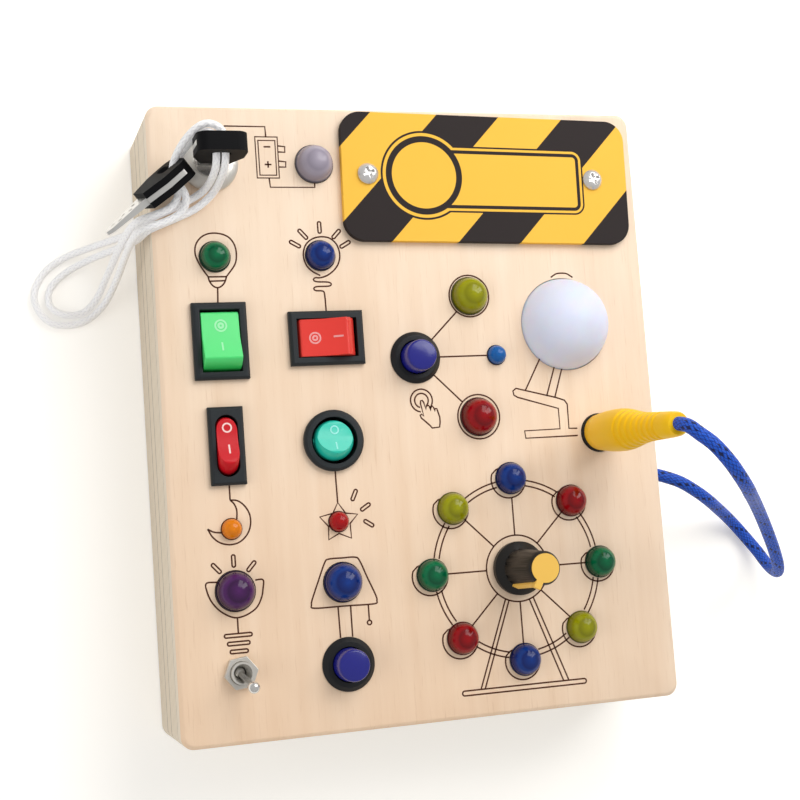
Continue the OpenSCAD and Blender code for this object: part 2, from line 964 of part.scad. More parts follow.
// Push buttons: a plunger with a shoulder under a step, and a return spring

button_depth = 14;
button_floor = 1.5;
shoulder_r = cap_r + 0.6;
shoulder_t = 1.5;
step_z = -3.5;
spring_d = 0.6;

module button_body() {
  difference() {
    union() {
      rotate_extrude()
        polygon([
          [0, 0], [button_d / 2, 0], [button_d / 2, 0.4],
          [cap_r + 1.4, button_rim_t], [0, button_rim_t]
        ]);
      rod(button_body_r, -button_depth, eps);
      for (s = [-1, 1])
        translate([2.5 * s, 0, 0])
          box(0.6, 2, -button_depth - 4, -button_depth + eps);
    }
    rod(cap_r + run + 0.05, step_z - eps, button_rim_t + eps);
    rod(shoulder_r + run + 0.05, button_floor - button_depth, step_z);
  }
}

module button_cap() {
  top = button_rim_t + cap_h;
  rotate_extrude()
    polygon([
      [0, step_z - shoulder_t], [shoulder_r, step_z - shoulder_t], [shoulder_r, step_z],
      [cap_r, step_z], [cap_r, top - 0.7], [cap_r - 0.2, top - 0.2], [cap_r - 0.7, top], [0, top]
    ]);
}

module button_spring() {
  swept_tube(
    coil_points(
      3.4, 3.4, button_floor - button_depth + spring_d / 2, step_z - shoulder_t - spring_d / 2, 4, 9
    ),
    spring_d, 6
  );
}

module lamp_button_body() {
  color("#1d1d20")
    at(lamp_button_at)
      button_body();
}

module lamp_button_cap() {
  color("mediumblue")
    at(lamp_button_at)
      button_cap();
}

module lamp_button_spring() {
  color("silver")
    at(lamp_button_at)
      button_spring();
}

module touch_button_body() {
  color("#1d1d20")
    at(touch_at)
      button_body();
}

module touch_button_cap() {
  color("mediumblue")
    at(touch_at)
      button_cap();
}

module touch_button_spring() {
  color("silver")
    at(touch_at)
      button_spring();
}

module button_nuts() {
  color("#3a3a3c")
    for (p = [lamp_button_at, touch_at])
      at(p, 0)
        hex_nut(button_nut_af, button_body_r, under_z - nut_t, nut_t);
}

// Key lock and keys

slot_clear = 0.15;

module lock_body() {
  color("silver")
    at(lock_at)
      difference() {
        union() {
          rotate_extrude()
            polygon([
              [0, 0], [lock_ring_r, 0], [lock_ring_r, 0.9], [lock_ring_r - 0.5, 1.5],
              [lock_plug_r + 1.6, lock_ring_h], [0, lock_ring_h]
            ]);
          rod(lock_body_r, -lock_depth, eps);
          for (s = [-1, 1])
            translate([3 * s, 0, 0])
              box(0.8, 3, -lock_depth - 2, -lock_depth + eps);
        }
        rod(lock_plug_r + run, 1.5 - lock_depth, lock_ring_h + eps);
      }
}

module lock_nut() {
  color("silver")
    at(lock_at, 0)
      hex_nut(button_nut_af, lock_body_r, under_z - nut_t, nut_t);
}

module lock_plug() {
  color("gainsboro")
    at(lock_at)
      difference() {
        rod(lock_plug_r, 1.6 - lock_depth, lock_ring_h - 0.2);
        box(
          blade_w + 2 * slot_clear, blade_t + 2 * slot_clear,
          key_seat - blade_l - slot_clear, lock_ring_h + eps
        );
      }
}

key_seat = 8.5;
eyelet_w = 5.4;
eyelet_h = 3;
eyelet_drop = 4.5;
tang_t = 1.4;
tang_stop = 2.4;

// The outline of a key's head, from its neck at 0 to its end at head_l
module head_outline() {
  translate([0, head_l - 5])
    rounded_outline(head_w, 10, 3);
  polygon([
    [-head_w / 2, head_l - 5], [-head_w / 2, 6], [-blade_w / 2 - 0.6, 0],
    [blade_w / 2 + 0.6, 0], [head_w / 2, 6], [head_w / 2, head_l - 5]
  ]);
}

module eyelet() {
  rotate([90, 0, 0])
    linear_extrude(head_w, center = true)
      translate([0, head_l - eyelet_drop])
        rounded_outline(eyelet_w, eyelet_h, eyelet_h / 2 - eps);
}

module key_head(lean = 0) {
  difference() {
    rotate([90, 0, lean])
      linear_extrude(head_t, center = true)
        head_outline();
    eyelet();
    rotate([0, 0, lean])
      box(2 * head_w, tang_t + 2 * run, -eps, head_l - tang_stop);
  }
}

module key_blade(lean = 0) {
  difference() {
    rotate([0, 0, lean]) {
      rotate([90, 0, 0])
        linear_extrude(blade_t, center = true)
          polygon([
            [-blade_w / 2, 0], [-blade_w / 2, 2 - blade_l], [2 - blade_w / 2, -blade_l],
            [blade_w / 2 - 2, -blade_l], [blade_w / 2, 2 - blade_l], [blade_w / 2, 0]
          ]);
      intersection() {
        rotate([90, 0, 0])
          linear_extrude(tang_t, center = true)
            head_outline();
        box(2 * head_w, tang_t, -eps, head_l - tang_stop - run);
      }
    }
    eyelet();
    rotate([0, 0, lean])
      for (side = [-1, 1], k = [0:4])
        translate([1.2 * (k % 2 == 0 ? 1 : -1), side * blade_t / 2, -3 - 2.2 * k])
          rotate([90, 0, 0])
            cylinder(r = 0.7, h = 0.7, center = true);
  }
}

module in_lock() {
  at(lock_at, face_z + key_seat)
    children();
}

// The spare key stands on its edge beside the lock, its blade over the board's edge. Its
// place and the lanyard's points are given for the lock at this place.
lock_drawn_at = [-55.5, 70];
spare_end = [-63.6, 67.3];
spare_turn = 41;
spare_rest = head_w / 2 * cos(spare_lean) + head_t / 2 * abs(sin(spare_lean));

module beside_lock() {
  at(lock_at - lock_drawn_at + spare_end, face_z + spare_rest + 0.02)
    rotate([0, 0, spare_turn])
      rotate([0, 90, 0])
        translate([0, 0, -head_l])
          children();
}

module main_key_head() {
  color("#1c1c1f")
    in_lock()
      key_head();
}

module main_key_blade() {
  color("silver")
    in_lock()
      key_blade();
}

module spare_key_head() {
  color("#1c1c1f")
    beside_lock()
      key_head(spare_lean);
}

module spare_key_blade() {
  color("silver")
    beside_lock()
      key_blade(spare_lean);
}

// Lanyard: two turns through both keys. The eye turns with the key in the lock.
lanyard_d = 2;
eye_points = [
  [[-56.8, 63.6, 42], [-56.7, 63.9, 48.2], [-56.7, 66.6, 52.4], [-56.7, 71, 52.9],
    [-57.5, 74.7, 52.3], [-61, 75.9, 49.3]],
  [[-54.4, 63.6, 42], [-54.3, 63.9, 48.2], [-54.3, 66.6, 52.4], [-54.3, 71.6, 53],
    [-55.3, 75.2, 53], [-59, 77.1, 52.7]]
];
lanyard_points = [
  [
    [-56.8, 63.5, 41.4], [-57.8, 61.7, 38.6], [-61.6, 59.4, 36.4], [-66.4, 57.1, 36.1],
    [-71.8, 54.7, 36.1], [-73.4, 54.2, 34.2], [-74.4, 54.1, 27.6], [-75.4, 54.2, 20],
    [-79.4, 54.2, 11.6], [-85.4, 53.5, 4], [-92.6, 51.2, 1.1], [-98.8, 46.4, 1.1],
    [-101.4, 39.2, 1.1], [-97.2, 32.6, 1.1], [-89, 32.2, 1.1], [-82.6, 36.6, 2.2],
    [-79, 43, 8], [-77.8, 46.6, 16.8], [-77, 49.2, 26.4], [-76, 50.7, 34.2],
    [-73.4, 51.6, 38.6], [-68.6, 53, 38.8], [-64, 55.8, 39], [-63.3, 59.6, 41.2],
    [-66.6, 63.8, 43], [-70, 68, 43.2], [-70.3, 72.8, 45.8], [-66.4, 76.4, 49.4],
    [-62.6, 77.5, 52], [-59.6, 77.4, 52.7]
  ],
  [
    [-54.4, 63.5, 41.4], [-55.2, 61.2, 38.6], [-59.6, 57.3, 36.4], [-65, 54.7, 36.1],
    [-71.7, 51.9, 36.1], [-73.2, 51.4, 34.4], [-74, 51.4, 28], [-75, 51.6, 20.4],
    [-79.6, 51.2, 11.8], [-85.8, 50, 4], [-92.2, 47, 1.1], [-96.8, 42.4, 1.1],
    [-97.2, 37.4, 1.1], [-93.2, 34.8, 1.1], [-88, 35.2, 1.1], [-84.2, 38.8, 2.2],
    [-81.4, 44.6, 8.2], [-79.5, 49, 17.4], [-78.2, 51.6, 26.4], [-76.2, 53.7, 34.6],
    [-72.4, 54.6, 38.5], [-67.4, 56.6, 38.8], [-65, 60, 39.6], [-66.4, 63.6, 40.5],
    [-69, 67.2, 40.7], [-69.4, 71.4, 42.6], [-66.4, 74.8, 45.4], [-61.5, 76.1, 48.9]
  ]
];

module lanyard() {
  color("white")
    at(lock_at - lock_drawn_at, 0)
      for (p = lanyard_points)
        swept_tube(p, lanyard_d, 8);
}

module lanyard_eye() {
  color("white")
    at(lock_at - lock_drawn_at, 0)
      for (p = eye_points)
        swept_tube(p, lanyard_d, 8);
}

// Rotary control, its nut on the face, and the knob over it

pot_bushing_r = 3.5;
pot_bushing_h = 4;
pot_h = 8.5;
shaft_top = 14;
knob_z = 0.6;
knob_recess_r = 6.2;
flute_count = 18;

module pot_body() {
  color("silver")
    at(wheel)
      difference() {
        union() {
          rod(pot_r, -face_t - pot_h, -face_t);
          rod(pot_bushing_r, -face_t - eps, pot_bushing_h);
          for (s = [-1, 0, 1])
            translate([5 * s, -pot_r - 1, 0])
              box(1.2, 8, -face_t - 4.5, -face_t - 3.7);
        }
        rod(shaft_r + run, -face_t - pot_h + 1.5, pot_bushing_h + eps);
      }
}

module pot_nut() {
  color("silver")
    at(wheel)
      hex_nut(10, pot_bushing_r, 0, nut_t);
}

module pot_shaft() {
  color("silver")
    at(wheel)
      difference() {
        rod(shaft_r, -face_t - pot_h + 1.6, shaft_top);
        translate([0, shaft_r / 2 + 2, 0])
          box(4 * shaft_r, 4, pot_bushing_h + 1, shaft_top + eps);
      }
}

module knob() {
  color("#1b1b1e")
    at(wheel)
      difference() {
        rotate_extrude()
          polygon([
            [0, knob_z], [skirt_r, knob_z], [skirt_r, knob_z + 1.6], [skirt_r - 0.5, knob_z + 2.4],
            [knob_top_r + 0.9, knob_z + 3.4], [knob_top_r, knob_h - 0.6], [knob_top_r - 0.6, knob_h],
            [0, knob_h]
          ]);
        rod(knob_recess_r, knob_z - eps, nut_t + 0.4);
        rod(pot_bushing_r + 0.4, knob_z - eps, pot_bushing_h + 0.4);
        difference() {
          rod(shaft_r + run, 0, shaft_top + run);
          translate([0, shaft_r / 2 + run + 2, 0])
            box(4 * shaft_r, 4, pot_bushing_h + 1 + run, shaft_top + 1);
        }
        rod(knob_cap_r + run, knob_h - knob_cap_t, knob_h + eps);
        translate([0, -knob_top_r - 1, 0])
          box(pointer_w + 2 * run, 3, knob_z + 3.4, knob_h + eps);
        translate([0, -knob_top_r / 2 - 0.6, 0])
          box(pointer_w + 2 * run, knob_top_r + 1, knob_h - knob_cap_t, knob_h + eps);
        for (k = [1:flute_count - 1])
          rotate(360 * k / flute_count - 90)
            translate([knob_top_r + 1, 0, knob_z + 3.4])
              cylinder(r = 0.5, h = knob_h);
      }
}

knob_cap_r = 4;
knob_cap_t = 1.4;
pointer_w = 2;

module knob_cap() {
  color("gold")
    at(wheel) {
      rod(knob_cap_r, knob_h - knob_cap_t, knob_h + 0.2);
      translate([0, -knob_top_r / 2 - 0.6, 0])
        box(pointer_w, knob_top_r + 0.6, knob_h - knob_cap_t, knob_h + 0.2);
      intersection() {
        translate([0, -knob_top_r - 0.2, 0])
          box(pointer_w, 1.3, knob_z + 3.6, knob_h);
        cylinder(r1 = knob_top_r + 1.2, r2 = knob_top_r + 0.1, h = knob_h);
      }
    }
}

// Jack in the face, and the plug that stands in it

jack_depth = 13;
jack_pin_r = 1;
socket_depth = 10;
relief_r = 3.2;
relief_l = 10;
relief_rings = 5;

module jack_body() {
  color("#1d1d20")
    at(jack_at) {
      difference() {
        union() {
          rotate_extrude()
            polygon([
              [0, 0], [jack_d / 2, 0], [jack_d / 2, jack_rim_t - 0.6],
              [jack_d / 2 - 0.6, jack_rim_t], [0, jack_rim_t]
            ]);
          rod(jack_body_r, -jack_depth, eps);
        }
        rod(barrel_r + run, jack_rim_t - socket_depth, jack_rim_t + eps);
      }
      rod(jack_pin_r, jack_rim_t - socket_depth - eps, jack_rim_t - 1);
      for (s = [-1, 1])
        translate([3 * s, 0, 0])
          box(0.6, 2.4, -jack_depth - 4, -jack_depth + eps);
    }
}

module jack_nut() {
  color("#3a3a3c")
    at(jack_at, 0)
      hex_nut(button_nut_af, jack_body_r, under_z - nut_t, nut_t);
}

module plug_body() {
  body_top = plug_l - relief_l;
  step = relief_l / relief_rings;
  color("gold")
    at(jack_at, face_z + jack_rim_t)
      difference() {
        rotate_extrude()
          polygon(concat(
            [
              [0, 0], [plug_r - 1.1, 0], [plug_r - 0.9, 0.4], [plug_r - 0.9, 6], [plug_r, 9],
              [plug_r, body_top - 8], [plug_r - 0.4, body_top - 4], [relief_r + 0.4, body_top]
            ],
            [for (k = [0:relief_rings - 1], e = [0:3])
              [
                relief_r - (e == 0 || e == 3 ? 0.6 : 0) - 0.06 * k,
                body_top + step * (k + [0.05, 0.35, 0.75, 0.98][e])
              ]],
            [[relief_r - 0.9, plug_l], [0, plug_l]]
          ));
        rod(barrel_r + run, -eps, barrel_root);
      }
}

barrel_root = 4;

module plug_barrel() {
  color("silver")
    at(jack_at, face_z + jack_rim_t)
      tube(jack_pin_r + 0.1, barrel_r, -barrel_l, barrel_root - run);
}

// Blue cord, from the top of the plug to the grommet in the right side
cord_exit_y = -21;
cord_exit_at = [board_w / 2, cord_exit_y * up];
cord_exit_z = 17.5;
blue_points = [
  [53.7, -9, 81.8], [53.7, -9, 83.4], [53.8, -10.3, 86.8], [54.9, -13.5, 90.1],
  [58.1, -17.5, 92.3], [62.1, -21.9, 92], [66.6, -25.9, 89], [71.5, -28.7, 83.6],
  [76.6, -30.3, 76.4], [82.2, -31.3, 68], [87.8, -32.5, 59.7], [93.2, -34.4, 52.1],
  [98.6, -37.3, 45], [104, -41.4, 38.4], [109.5, -46.4, 31.8], [114.4, -51.1, 25.4],
  [118.1, -53.8, 19.1], [120.4, -53.9, 13.2], [121.3, -51.8, 7.9], [120.7, -47.8, 4],
  [118.1, -43.2, 2.1], [114.2, -38.9, 2.6], [109.3, -35.5, 5.6], [103.4, -33, 11.3],
  [97.4, -30.5, 17], [91.7, -27.5, 20], [85.9, -24.2, 20.5], [79.4, -21.6, 18.5],
  [75.3, -21, 17.5], [73.5, -21, 17.5]
];

// The cord's start keeps to the jack and its end to the grommet. Its points are given for
// these places of the two.
cord_drawn_at = [[53.7, -9], [72, -21]];
function cord_point(i) =
  let (
    t = min(1, max(0, (i - 1) / (len(blue_points) - 3))),
    shift = (1 - t) * (jack_at - cord_drawn_at[0]) + t * (cord_exit_at - cord_drawn_at[1]),
    p = blue_points[i]
  ) [p.x + shift.x, p.y + shift.y, p.z];

module blue_cord() {
  color("blue")
    swept_tube([for (i = [0:len(blue_points) - 1]) cord_point(i)], cord_d, 8);
}

grommet_r = 3.6;
grommet_rim_r = 4.8;
grommet_rim_t = 1.5;

module cord_grommet() {
  color("#222225")
    at(cord_exit_at, cord_exit_z)
      rotate([0, 90, 0])
        difference() {
          union() {
            rod(grommet_r, -ring_w, eps);
            rod(grommet_rim_r, 0, grommet_rim_t);
          }
          rod(cord_d / 2 + fit, -ring_w - eps, grommet_rim_t / 2);
        }
}

// Sign plate

sign_screw_r = 1.4;
sign_screw_in = 4;
sign_screw_head_r = 3;
sign_screw_head_t = 1.7;

function sign_screw_spots() =
  [for (s = [-1, 1])
    sign_at + (sign_screw_shift + s * sign_screw_gap * across / 2) * [cos(sign_turn), sin(sign_turn)]
      + 0.6 * [-sin(sign_turn), cos(sign_turn)]];

module sign_plate() {
  color("gold")
    difference() {
      at(sign_at)
        rotate(sign_turn)
          rounded_plate(sign_len, sign_h, sign_t, sign_r);
      for (p = sign_screw_spots())
        at(p)
          rod(sign_screw_r + fit, -eps, sign_t + eps);
    }
}

module sign_screws() {
  color("silver")
    for (p = sign_screw_spots())
      at(p)
        difference() {
          rotate_extrude()
            polygon([
              [0, -sign_screw_in], [sign_screw_r, -sign_screw_in + 1], [sign_screw_r, sign_t],
              [sign_screw_head_r, sign_t], [sign_screw_head_r, sign_t + 0.5],
              [sign_screw_head_r - 0.7, sign_t + sign_screw_head_t - 0.4],
              [sign_screw_head_r - 1.6, sign_t + sign_screw_head_t], [0, sign_t + sign_screw_head_t]
            ]);
          for (turn = [20, 110])
            rotate(turn)
              box(3.4, 0.8, sign_t + 0.8, sign_t + sign_screw_head_t + eps);
        }
}

// Lamps: lenses with a flange behind the panel, standing on the circuit boards

module lens(s) {
  r = s.z / 2;
  at(s) {
    rod(r + 0.6, -face_t - flange_t, -face_t);
    rod(r, -face_t - eps, -lens_sink);
    translate([0, 0, -lens_sink])
      intersection() {
        sphere(r);
        rod(r + 1, -eps, r + 1);
      }
  }
}

module blue_lenses() {
  color("royalblue")
    for (s = blue_spots)
      lens(s);
}

module red_lenses() {
  color("firebrick")
    for (s = red_spots)
      lens(s);
}

module green_lenses() {
  color("seagreen")
    for (s = green_spots)
      lens(s);
}

module lime_lenses() {
  color("yellowgreen")
    for (s = lime_spots)
      lens(s);
}

module lone_lenses() {
  color("purple")
    lens(purple_spot);
  color("orange")
    lens(amber_spot);
  color("thistle")
    lens(lilac_spot);
}

dome_sink = 1.8;

module lamp_dome() {
  color("white")
    at(dome_at)
      difference() {
        union() {
          intersection() {
            translate([0, 0, -dome_sink])
              sphere(dome_r);
            rod(dome_r + 1, -dome_sink, dome_r + 1);
          }
          rod(dome_r, -face_t - eps, -dome_sink + eps);
          rod(dome_r + 1.2, -face_t - flange_t, -face_t);
        }
        intersection() {
          translate([0, 0, -dome_sink])
            sphere(dome_r - dome_wall);
          rod(dome_r + 1, -dome_sink, dome_r + 1);
        }
        rod(dome_r - dome_wall, -face_t - flange_t - eps, -dome_sink + eps);
      }
}

// Circuit boards behind the panel, cut out round the fittings that pass them

board_screw_r = 1.2;
board_screw_in = 3;
board_screw_head_r = 2.4;
pcb_top = under_z - flange_t;
pcb_margin = 2;
pcb_under_y = 10.9;
pcb_over_y = 17.9;
pcb_side_x = 9;
pcb_start_x = 15;
pcb_edge = 1.5;
lilac_arm_w = 16;
left_pcb = [
  [pcb_margin - inside_w / 2, lamp_button_at.y + pcb_under_y],
  [inner_x + pcb_side_x, lock_at.y - pcb_side_x]
];
right_pcb = [
  [inner_x + pcb_start_x, pcb_edge - inside_h / 2],
  [inside_w / 2 - pcb_edge, dome_at.y + pcb_over_y]
];
lilac_pcb = [
  [inner_x - lilac_arm_w / 2, left_pcb[1].y - 0.1],
  [inner_x + lilac_arm_w / 2, inside_h / 2 - 1]
];
board_screw_places = [
  [-41, 55], [-41, -18], [-41, -52], [-7, 37], [-7, -72], [59, -72], [38, -8], [60, 3]
];
board_screw_spots = [for (p = board_screw_places) [p.x * across, p.y * up]];

module pcb_plate(c) {
  translate([c[0].x, c[0].y, pcb_top - pcb_t])
    cube([c[1].x - c[0].x, c[1].y - c[0].y, pcb_t]);
}

module circuit_boards() {
  nut_clear = button_nut_af / sqrt(3) + 0.5;
  low = pcb_top - pcb_t - eps;
  high = pcb_top + eps;
  color("darkgreen")
    difference() {
      union() {
        pcb_plate(left_pcb);
        pcb_plate(right_pcb);
        pcb_plate(lilac_pcb);
        at(dome_at, 0)
          rod(2.5, pcb_top - eps, pcb_top + 2);
      }
      at(green_at, 0)
        box(case_w + 1, case_l + 2, low, high);
      at(red_at, 0)
        box(case_l + 2, case_w + 1, low, high);
      at(slim_at, 0)
        box(slim_case_w + 1, case_l + 2, low, high);
      at(round_at, 0)
        rod(round_case_r + 1, low, high);
      at(touch_at, 0)
        rod(nut_clear, low, high);
      at(wheel, 0)
        rod(pot_r + 0.5, low, high);
      at(wheel, 0)
        translate([0, -pot_r - 2, 0])
          box(13, 8, low, high);
      at(jack_at, 0)
        rod(nut_clear, low, high);
      for (p = board_screw_spots)
        at(p, 0)
          rod(board_screw_r + fit, low, high);
    }
}

module board_screws() {
  color("silver")
    for (p = board_screw_spots)
      at(p, pcb_top - pcb_t) {
        rod(board_screw_r, -eps, pcb_t + flange_t + board_screw_in);
        rod(board_screw_head_r, -1.4, 0);
        tube(board_screw_r - eps, board_screw_head_r, pcb_t, pcb_t + flange_t);
      }
}

face_panel();
frame_front();
frame_middle();
frame_back();
back_panel();
back_screws();
battery_box();
batteries();
battery_contacts();
battery_cover();
cover_screw();
green_rocker_case();
green_rocker();
red_rocker_case();
red_rocker();
slim_rocker_case();
slim_rocker();
round_rocker_case();
round_rocker();
switch_terminals();
toggle_body();
toggle_nut();
toggle_lever();
lamp_button_body();
lamp_button_cap();
lamp_button_spring();
touch_button_body();
touch_button_cap();
touch_button_spring();
button_nuts();
lock_body();
lock_nut();
lock_plug();
main_key_head();
main_key_blade();
spare_key_head();
spare_key_blade();
lanyard();
lanyard_eye();
pot_body();
pot_nut();
pot_shaft();
knob();
knob_cap();
jack_body();
jack_nut();
plug_body();
plug_barrel();
blue_cord();
cord_grommet();
sign_plate();
sign_screws();
blue_lenses();
red_lenses();
green_lenses();
lime_lenses();
lone_lenses();
lamp_dome();
circuit_boards();
board_screws();
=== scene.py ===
import json
import math

import bmesh
import bpy
import numpy as np
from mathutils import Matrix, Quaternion, Vector
from mathutils.bvhtree import BVHTree


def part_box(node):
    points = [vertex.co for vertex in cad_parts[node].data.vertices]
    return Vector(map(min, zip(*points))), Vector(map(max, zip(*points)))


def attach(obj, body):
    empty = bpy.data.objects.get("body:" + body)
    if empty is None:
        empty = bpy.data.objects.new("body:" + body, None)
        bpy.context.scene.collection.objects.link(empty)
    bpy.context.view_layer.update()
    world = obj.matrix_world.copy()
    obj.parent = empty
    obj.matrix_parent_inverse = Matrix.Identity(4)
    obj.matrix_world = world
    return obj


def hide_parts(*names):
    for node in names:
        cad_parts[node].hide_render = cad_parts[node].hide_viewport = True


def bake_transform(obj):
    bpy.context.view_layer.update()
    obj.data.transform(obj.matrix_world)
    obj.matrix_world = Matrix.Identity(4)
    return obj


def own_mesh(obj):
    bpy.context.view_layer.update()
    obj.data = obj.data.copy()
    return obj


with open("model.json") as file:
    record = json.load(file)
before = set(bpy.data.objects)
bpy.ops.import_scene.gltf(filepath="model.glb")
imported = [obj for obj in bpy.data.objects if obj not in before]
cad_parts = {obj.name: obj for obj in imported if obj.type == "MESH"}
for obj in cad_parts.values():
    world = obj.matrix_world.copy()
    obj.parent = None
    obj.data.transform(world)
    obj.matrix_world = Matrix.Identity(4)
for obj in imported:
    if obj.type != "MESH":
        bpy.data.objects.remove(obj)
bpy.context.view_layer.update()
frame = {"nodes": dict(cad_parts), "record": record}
bodies = frame["record"]["behaviour"]["bodies"]
bodyOf = {node: body for body, nodes in bodies.items() for node in nodes}
millimetre = 0.001
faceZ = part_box("face_panel")[1].z


# small helpers

def paint(red, green, blue):  # 0-255 screen values to a linear colour
    def linear(value):
        value /= 255
        return value / 12.92 if value <= 0.04045 else ((value + 0.055) / 1.055) ** 2.4
    return (linear(red), linear(green), linear(blue), 1.0)


def onFace(x, y, z):  # millimetres on the board's face, z above it
    return Vector((x * millimetre, y * millimetre, faceZ + z * millimetre))


def clip(value):
    return min(1.0, max(0.0, value))


def scaled(x, y, centre, scale):  # a plan point drawn toward a centre
    return [middle + (value - middle) * scale for value, middle in zip((x, y), centre)]


class Signal:  # a socket that Python's own operators work on
    def __init__(self, sheet, socket):
        self.sheet, self.socket = sheet, socket

    def combine(self, operation, *values, clamp=False):
        settings = {"operation": operation, "use_clamp": clamp}
        return self.sheet.node("ShaderNodeMath", settings, dict(enumerate(values)))

    def of(self, operation, *others, clamp=False):
        return self.combine(operation, self, *others, clamp=clamp)

    def between(self, low, high, width=0.0):  # 1 between the two, with soft ends
        if not width:
            return (self > low) * (self < high)
        rise = ((self - low) / width + 0.5).held()
        fall = ((high - self) / width + 0.5).held()
        return rise * fall

    def held(self):  # kept between 0 and 1
        return self.of("ADD", 0.0, clamp=True)


def operator(operation, swapped):
    def apply(self, other):
        values = (other, self) if swapped else (self, other)
        return self.combine(operation, *values)
    return apply


operators = {"add": "ADD", "sub": "SUBTRACT", "mul": "MULTIPLY", "truediv": "DIVIDE",
             "mod": "FLOORED_MODULO", "lt": "LESS_THAN", "gt": "GREATER_THAN",
             "radd": "ADD", "rsub": "SUBTRACT", "rmul": "MULTIPLY"}
for name, operation in operators.items():
    setattr(Signal, f"__{name}__", operator(operation, name.startswith("r")))


class Sheet:  # a node tree, with one way to make any node
    def __init__(self, tree):
        self.tree = tree

    def node(self, kind, settings=None, inputs=None, output=0):
        made = self.tree.nodes.new(kind)
        for key, value in (settings or {}).items():
            setattr(made, key, value)
        for key, value in (inputs or {}).items():
            self.feed(made.inputs[key], value)
        return Signal(self, made.outputs[output])

    def form(self, kind, settings=None, inputs=None):
        return self.node("GeometryNode" + kind, settings, inputs)

    def feed(self, socket, value):
        if isinstance(value, Signal):
            self.tree.links.new(value.socket, socket)
        else:
            socket.default_value = value


class Finish(Sheet):  # a material around one Principled shader
    def __init__(self, name, **fixed):
        self.material = bpy.data.materials.new(name)
        self.material.use_nodes = True
        super().__init__(self.material.node_tree)
        self.shader = self.tree.nodes["Principled BSDF"]
        self.set(**fixed)
        self.place = self.node("ShaderNodeTexCoord", output=3)

    def set(self, **values):
        names = {"colour": "Base Color", "rough": "Roughness", "metal": "Metallic",
                 "coat": "Coat Weight", "coatRough": "Coat Roughness", "sheen": "Sheen Weight",
                 "soft": "Subsurface Weight", "softScale": "Subsurface Scale",
                 "glow": "Emission Strength", "glowColour": "Emission Color",
                 "normal": "Normal", "specular": "Specular IOR Level"}
        for key, value in values.items():
            self.feed(self.shader.inputs[names[key]], value)

    def mix(self, factor, low, high, blend="MIX"):
        settings = {"data_type": "RGBA", "blend_type": blend}
        return self.node("ShaderNodeMix", settings, {0: factor, 6: low, 7: high}, output=2)

    def stretched(self, x=1.0, y=1.0, z=1.0, source=None):
        inputs = {"Vector": source or self.place, "Scale": (x, y, z)}
        return self.node("ShaderNodeMapping", None, inputs)

    def noise(self, scale, detail=2.0, vector=None, roughness=0.5):
        inputs = {"Vector": vector or self.place, "Scale": scale, "Detail": detail,
                  "Roughness": roughness}
        return self.node("ShaderNodeTexNoise", None, inputs)

    def axes(self, vector=None):
        split = self.node("ShaderNodeSeparateXYZ", None, {0: vector or self.place}).socket.node
        return [Signal(self, split.outputs[i]) for i in range(3)]

    def bump(self, height, distance, strength=1.0):
        inputs = {"Height": height, "Distance": distance, "Strength": strength}
        return self.node("ShaderNodeBump", None, inputs)


def newObject(name, data):
    made = bpy.data.objects.new(name, data)
    bpy.context.scene.collection.objects.link(made)
    return made


def meshObject(name, vertices, faces, edges=()):
    mesh = bpy.data.meshes.new(name)
    mesh.from_pydata([tuple(v) for v in vertices], list(edges), faces)
    return newObject(name, mesh)


def outward(made):  # turns every face of a closed shape to the outside
    work = bmesh.new()
    work.from_mesh(made.data)
    bmesh.ops.recalc_face_normals(work, faces=work.faces)
    work.to_mesh(made.data)
    work.free()
    return made


def settle(made):  # applies every modifier and gives a plain mesh object
    name = made.name
    depsgraph = bpy.context.evaluated_depsgraph_get()
    depsgraph.update()
    mesh = bpy.data.meshes.new_from_object(made.evaluated_get(depsgraph), depsgraph=depsgraph)
    bpy.data.objects.remove(made)
    return newObject(name, mesh)


def smooth(made, angle=30):
    made.data.shade_smooth()
    made.data.set_sharp_from_angle(angle=math.radians(angle))
    return made


def finishPiece(made, finish, body, nodes=()):
    made.data.materials.clear()
    made.data.materials.append(finish.material)
    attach(made, body)
    if nodes:
        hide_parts(*nodes)
    return made


def soften(made, width, rounds, angle):
    bevel = made.modifiers.new("soften", "BEVEL")
    bevel.width = width
    bevel.segments = rounds
    bevel.limit_method = "ANGLE"
    bevel.angle_limit = math.radians(angle)
    bevel.harden_normals = True
    bevel.use_clamp_overlap = True
    return settle(made)


dressSet = {"merge": 2e-6, "flat": 0.9}  # metres between doubles, degrees within a flat face


def dress(node, finish, bevel=0.0, rounds=2, angle=35, name=None, shape=None):
    # a rounded and smoothed copy of a plain solid, which stands for it
    source = frame["nodes"][node].data.copy()
    work = bmesh.new()
    work.from_mesh(source)
    bmesh.ops.remove_doubles(work, verts=work.verts, dist=dressSet["merge"])
    if bevel:
        flat = math.radians(dressSet["flat"])
        bmesh.ops.dissolve_limit(work, angle_limit=flat, verts=work.verts, edges=work.edges)
    work.to_mesh(source)
    work.free()
    if shape:
        for vertex in source.vertices:
            vertex.co = Vector(shape(*(vertex.co / millimetre))) * millimetre
    made = smooth(newObject(name or node + "_piece", source), angle)
    if bevel:
        made = soften(made, bevel * millimetre, rounds, angle)
    else:  # broad flat faces keep their own direction
        weigh = made.modifiers.new("weigh", "WEIGHTED_NORMAL")
        weigh.weight, weigh.keep_sharp = 100, True
        made = settle(made)
    return finishPiece(made, finish, bodyOf[node], [node])


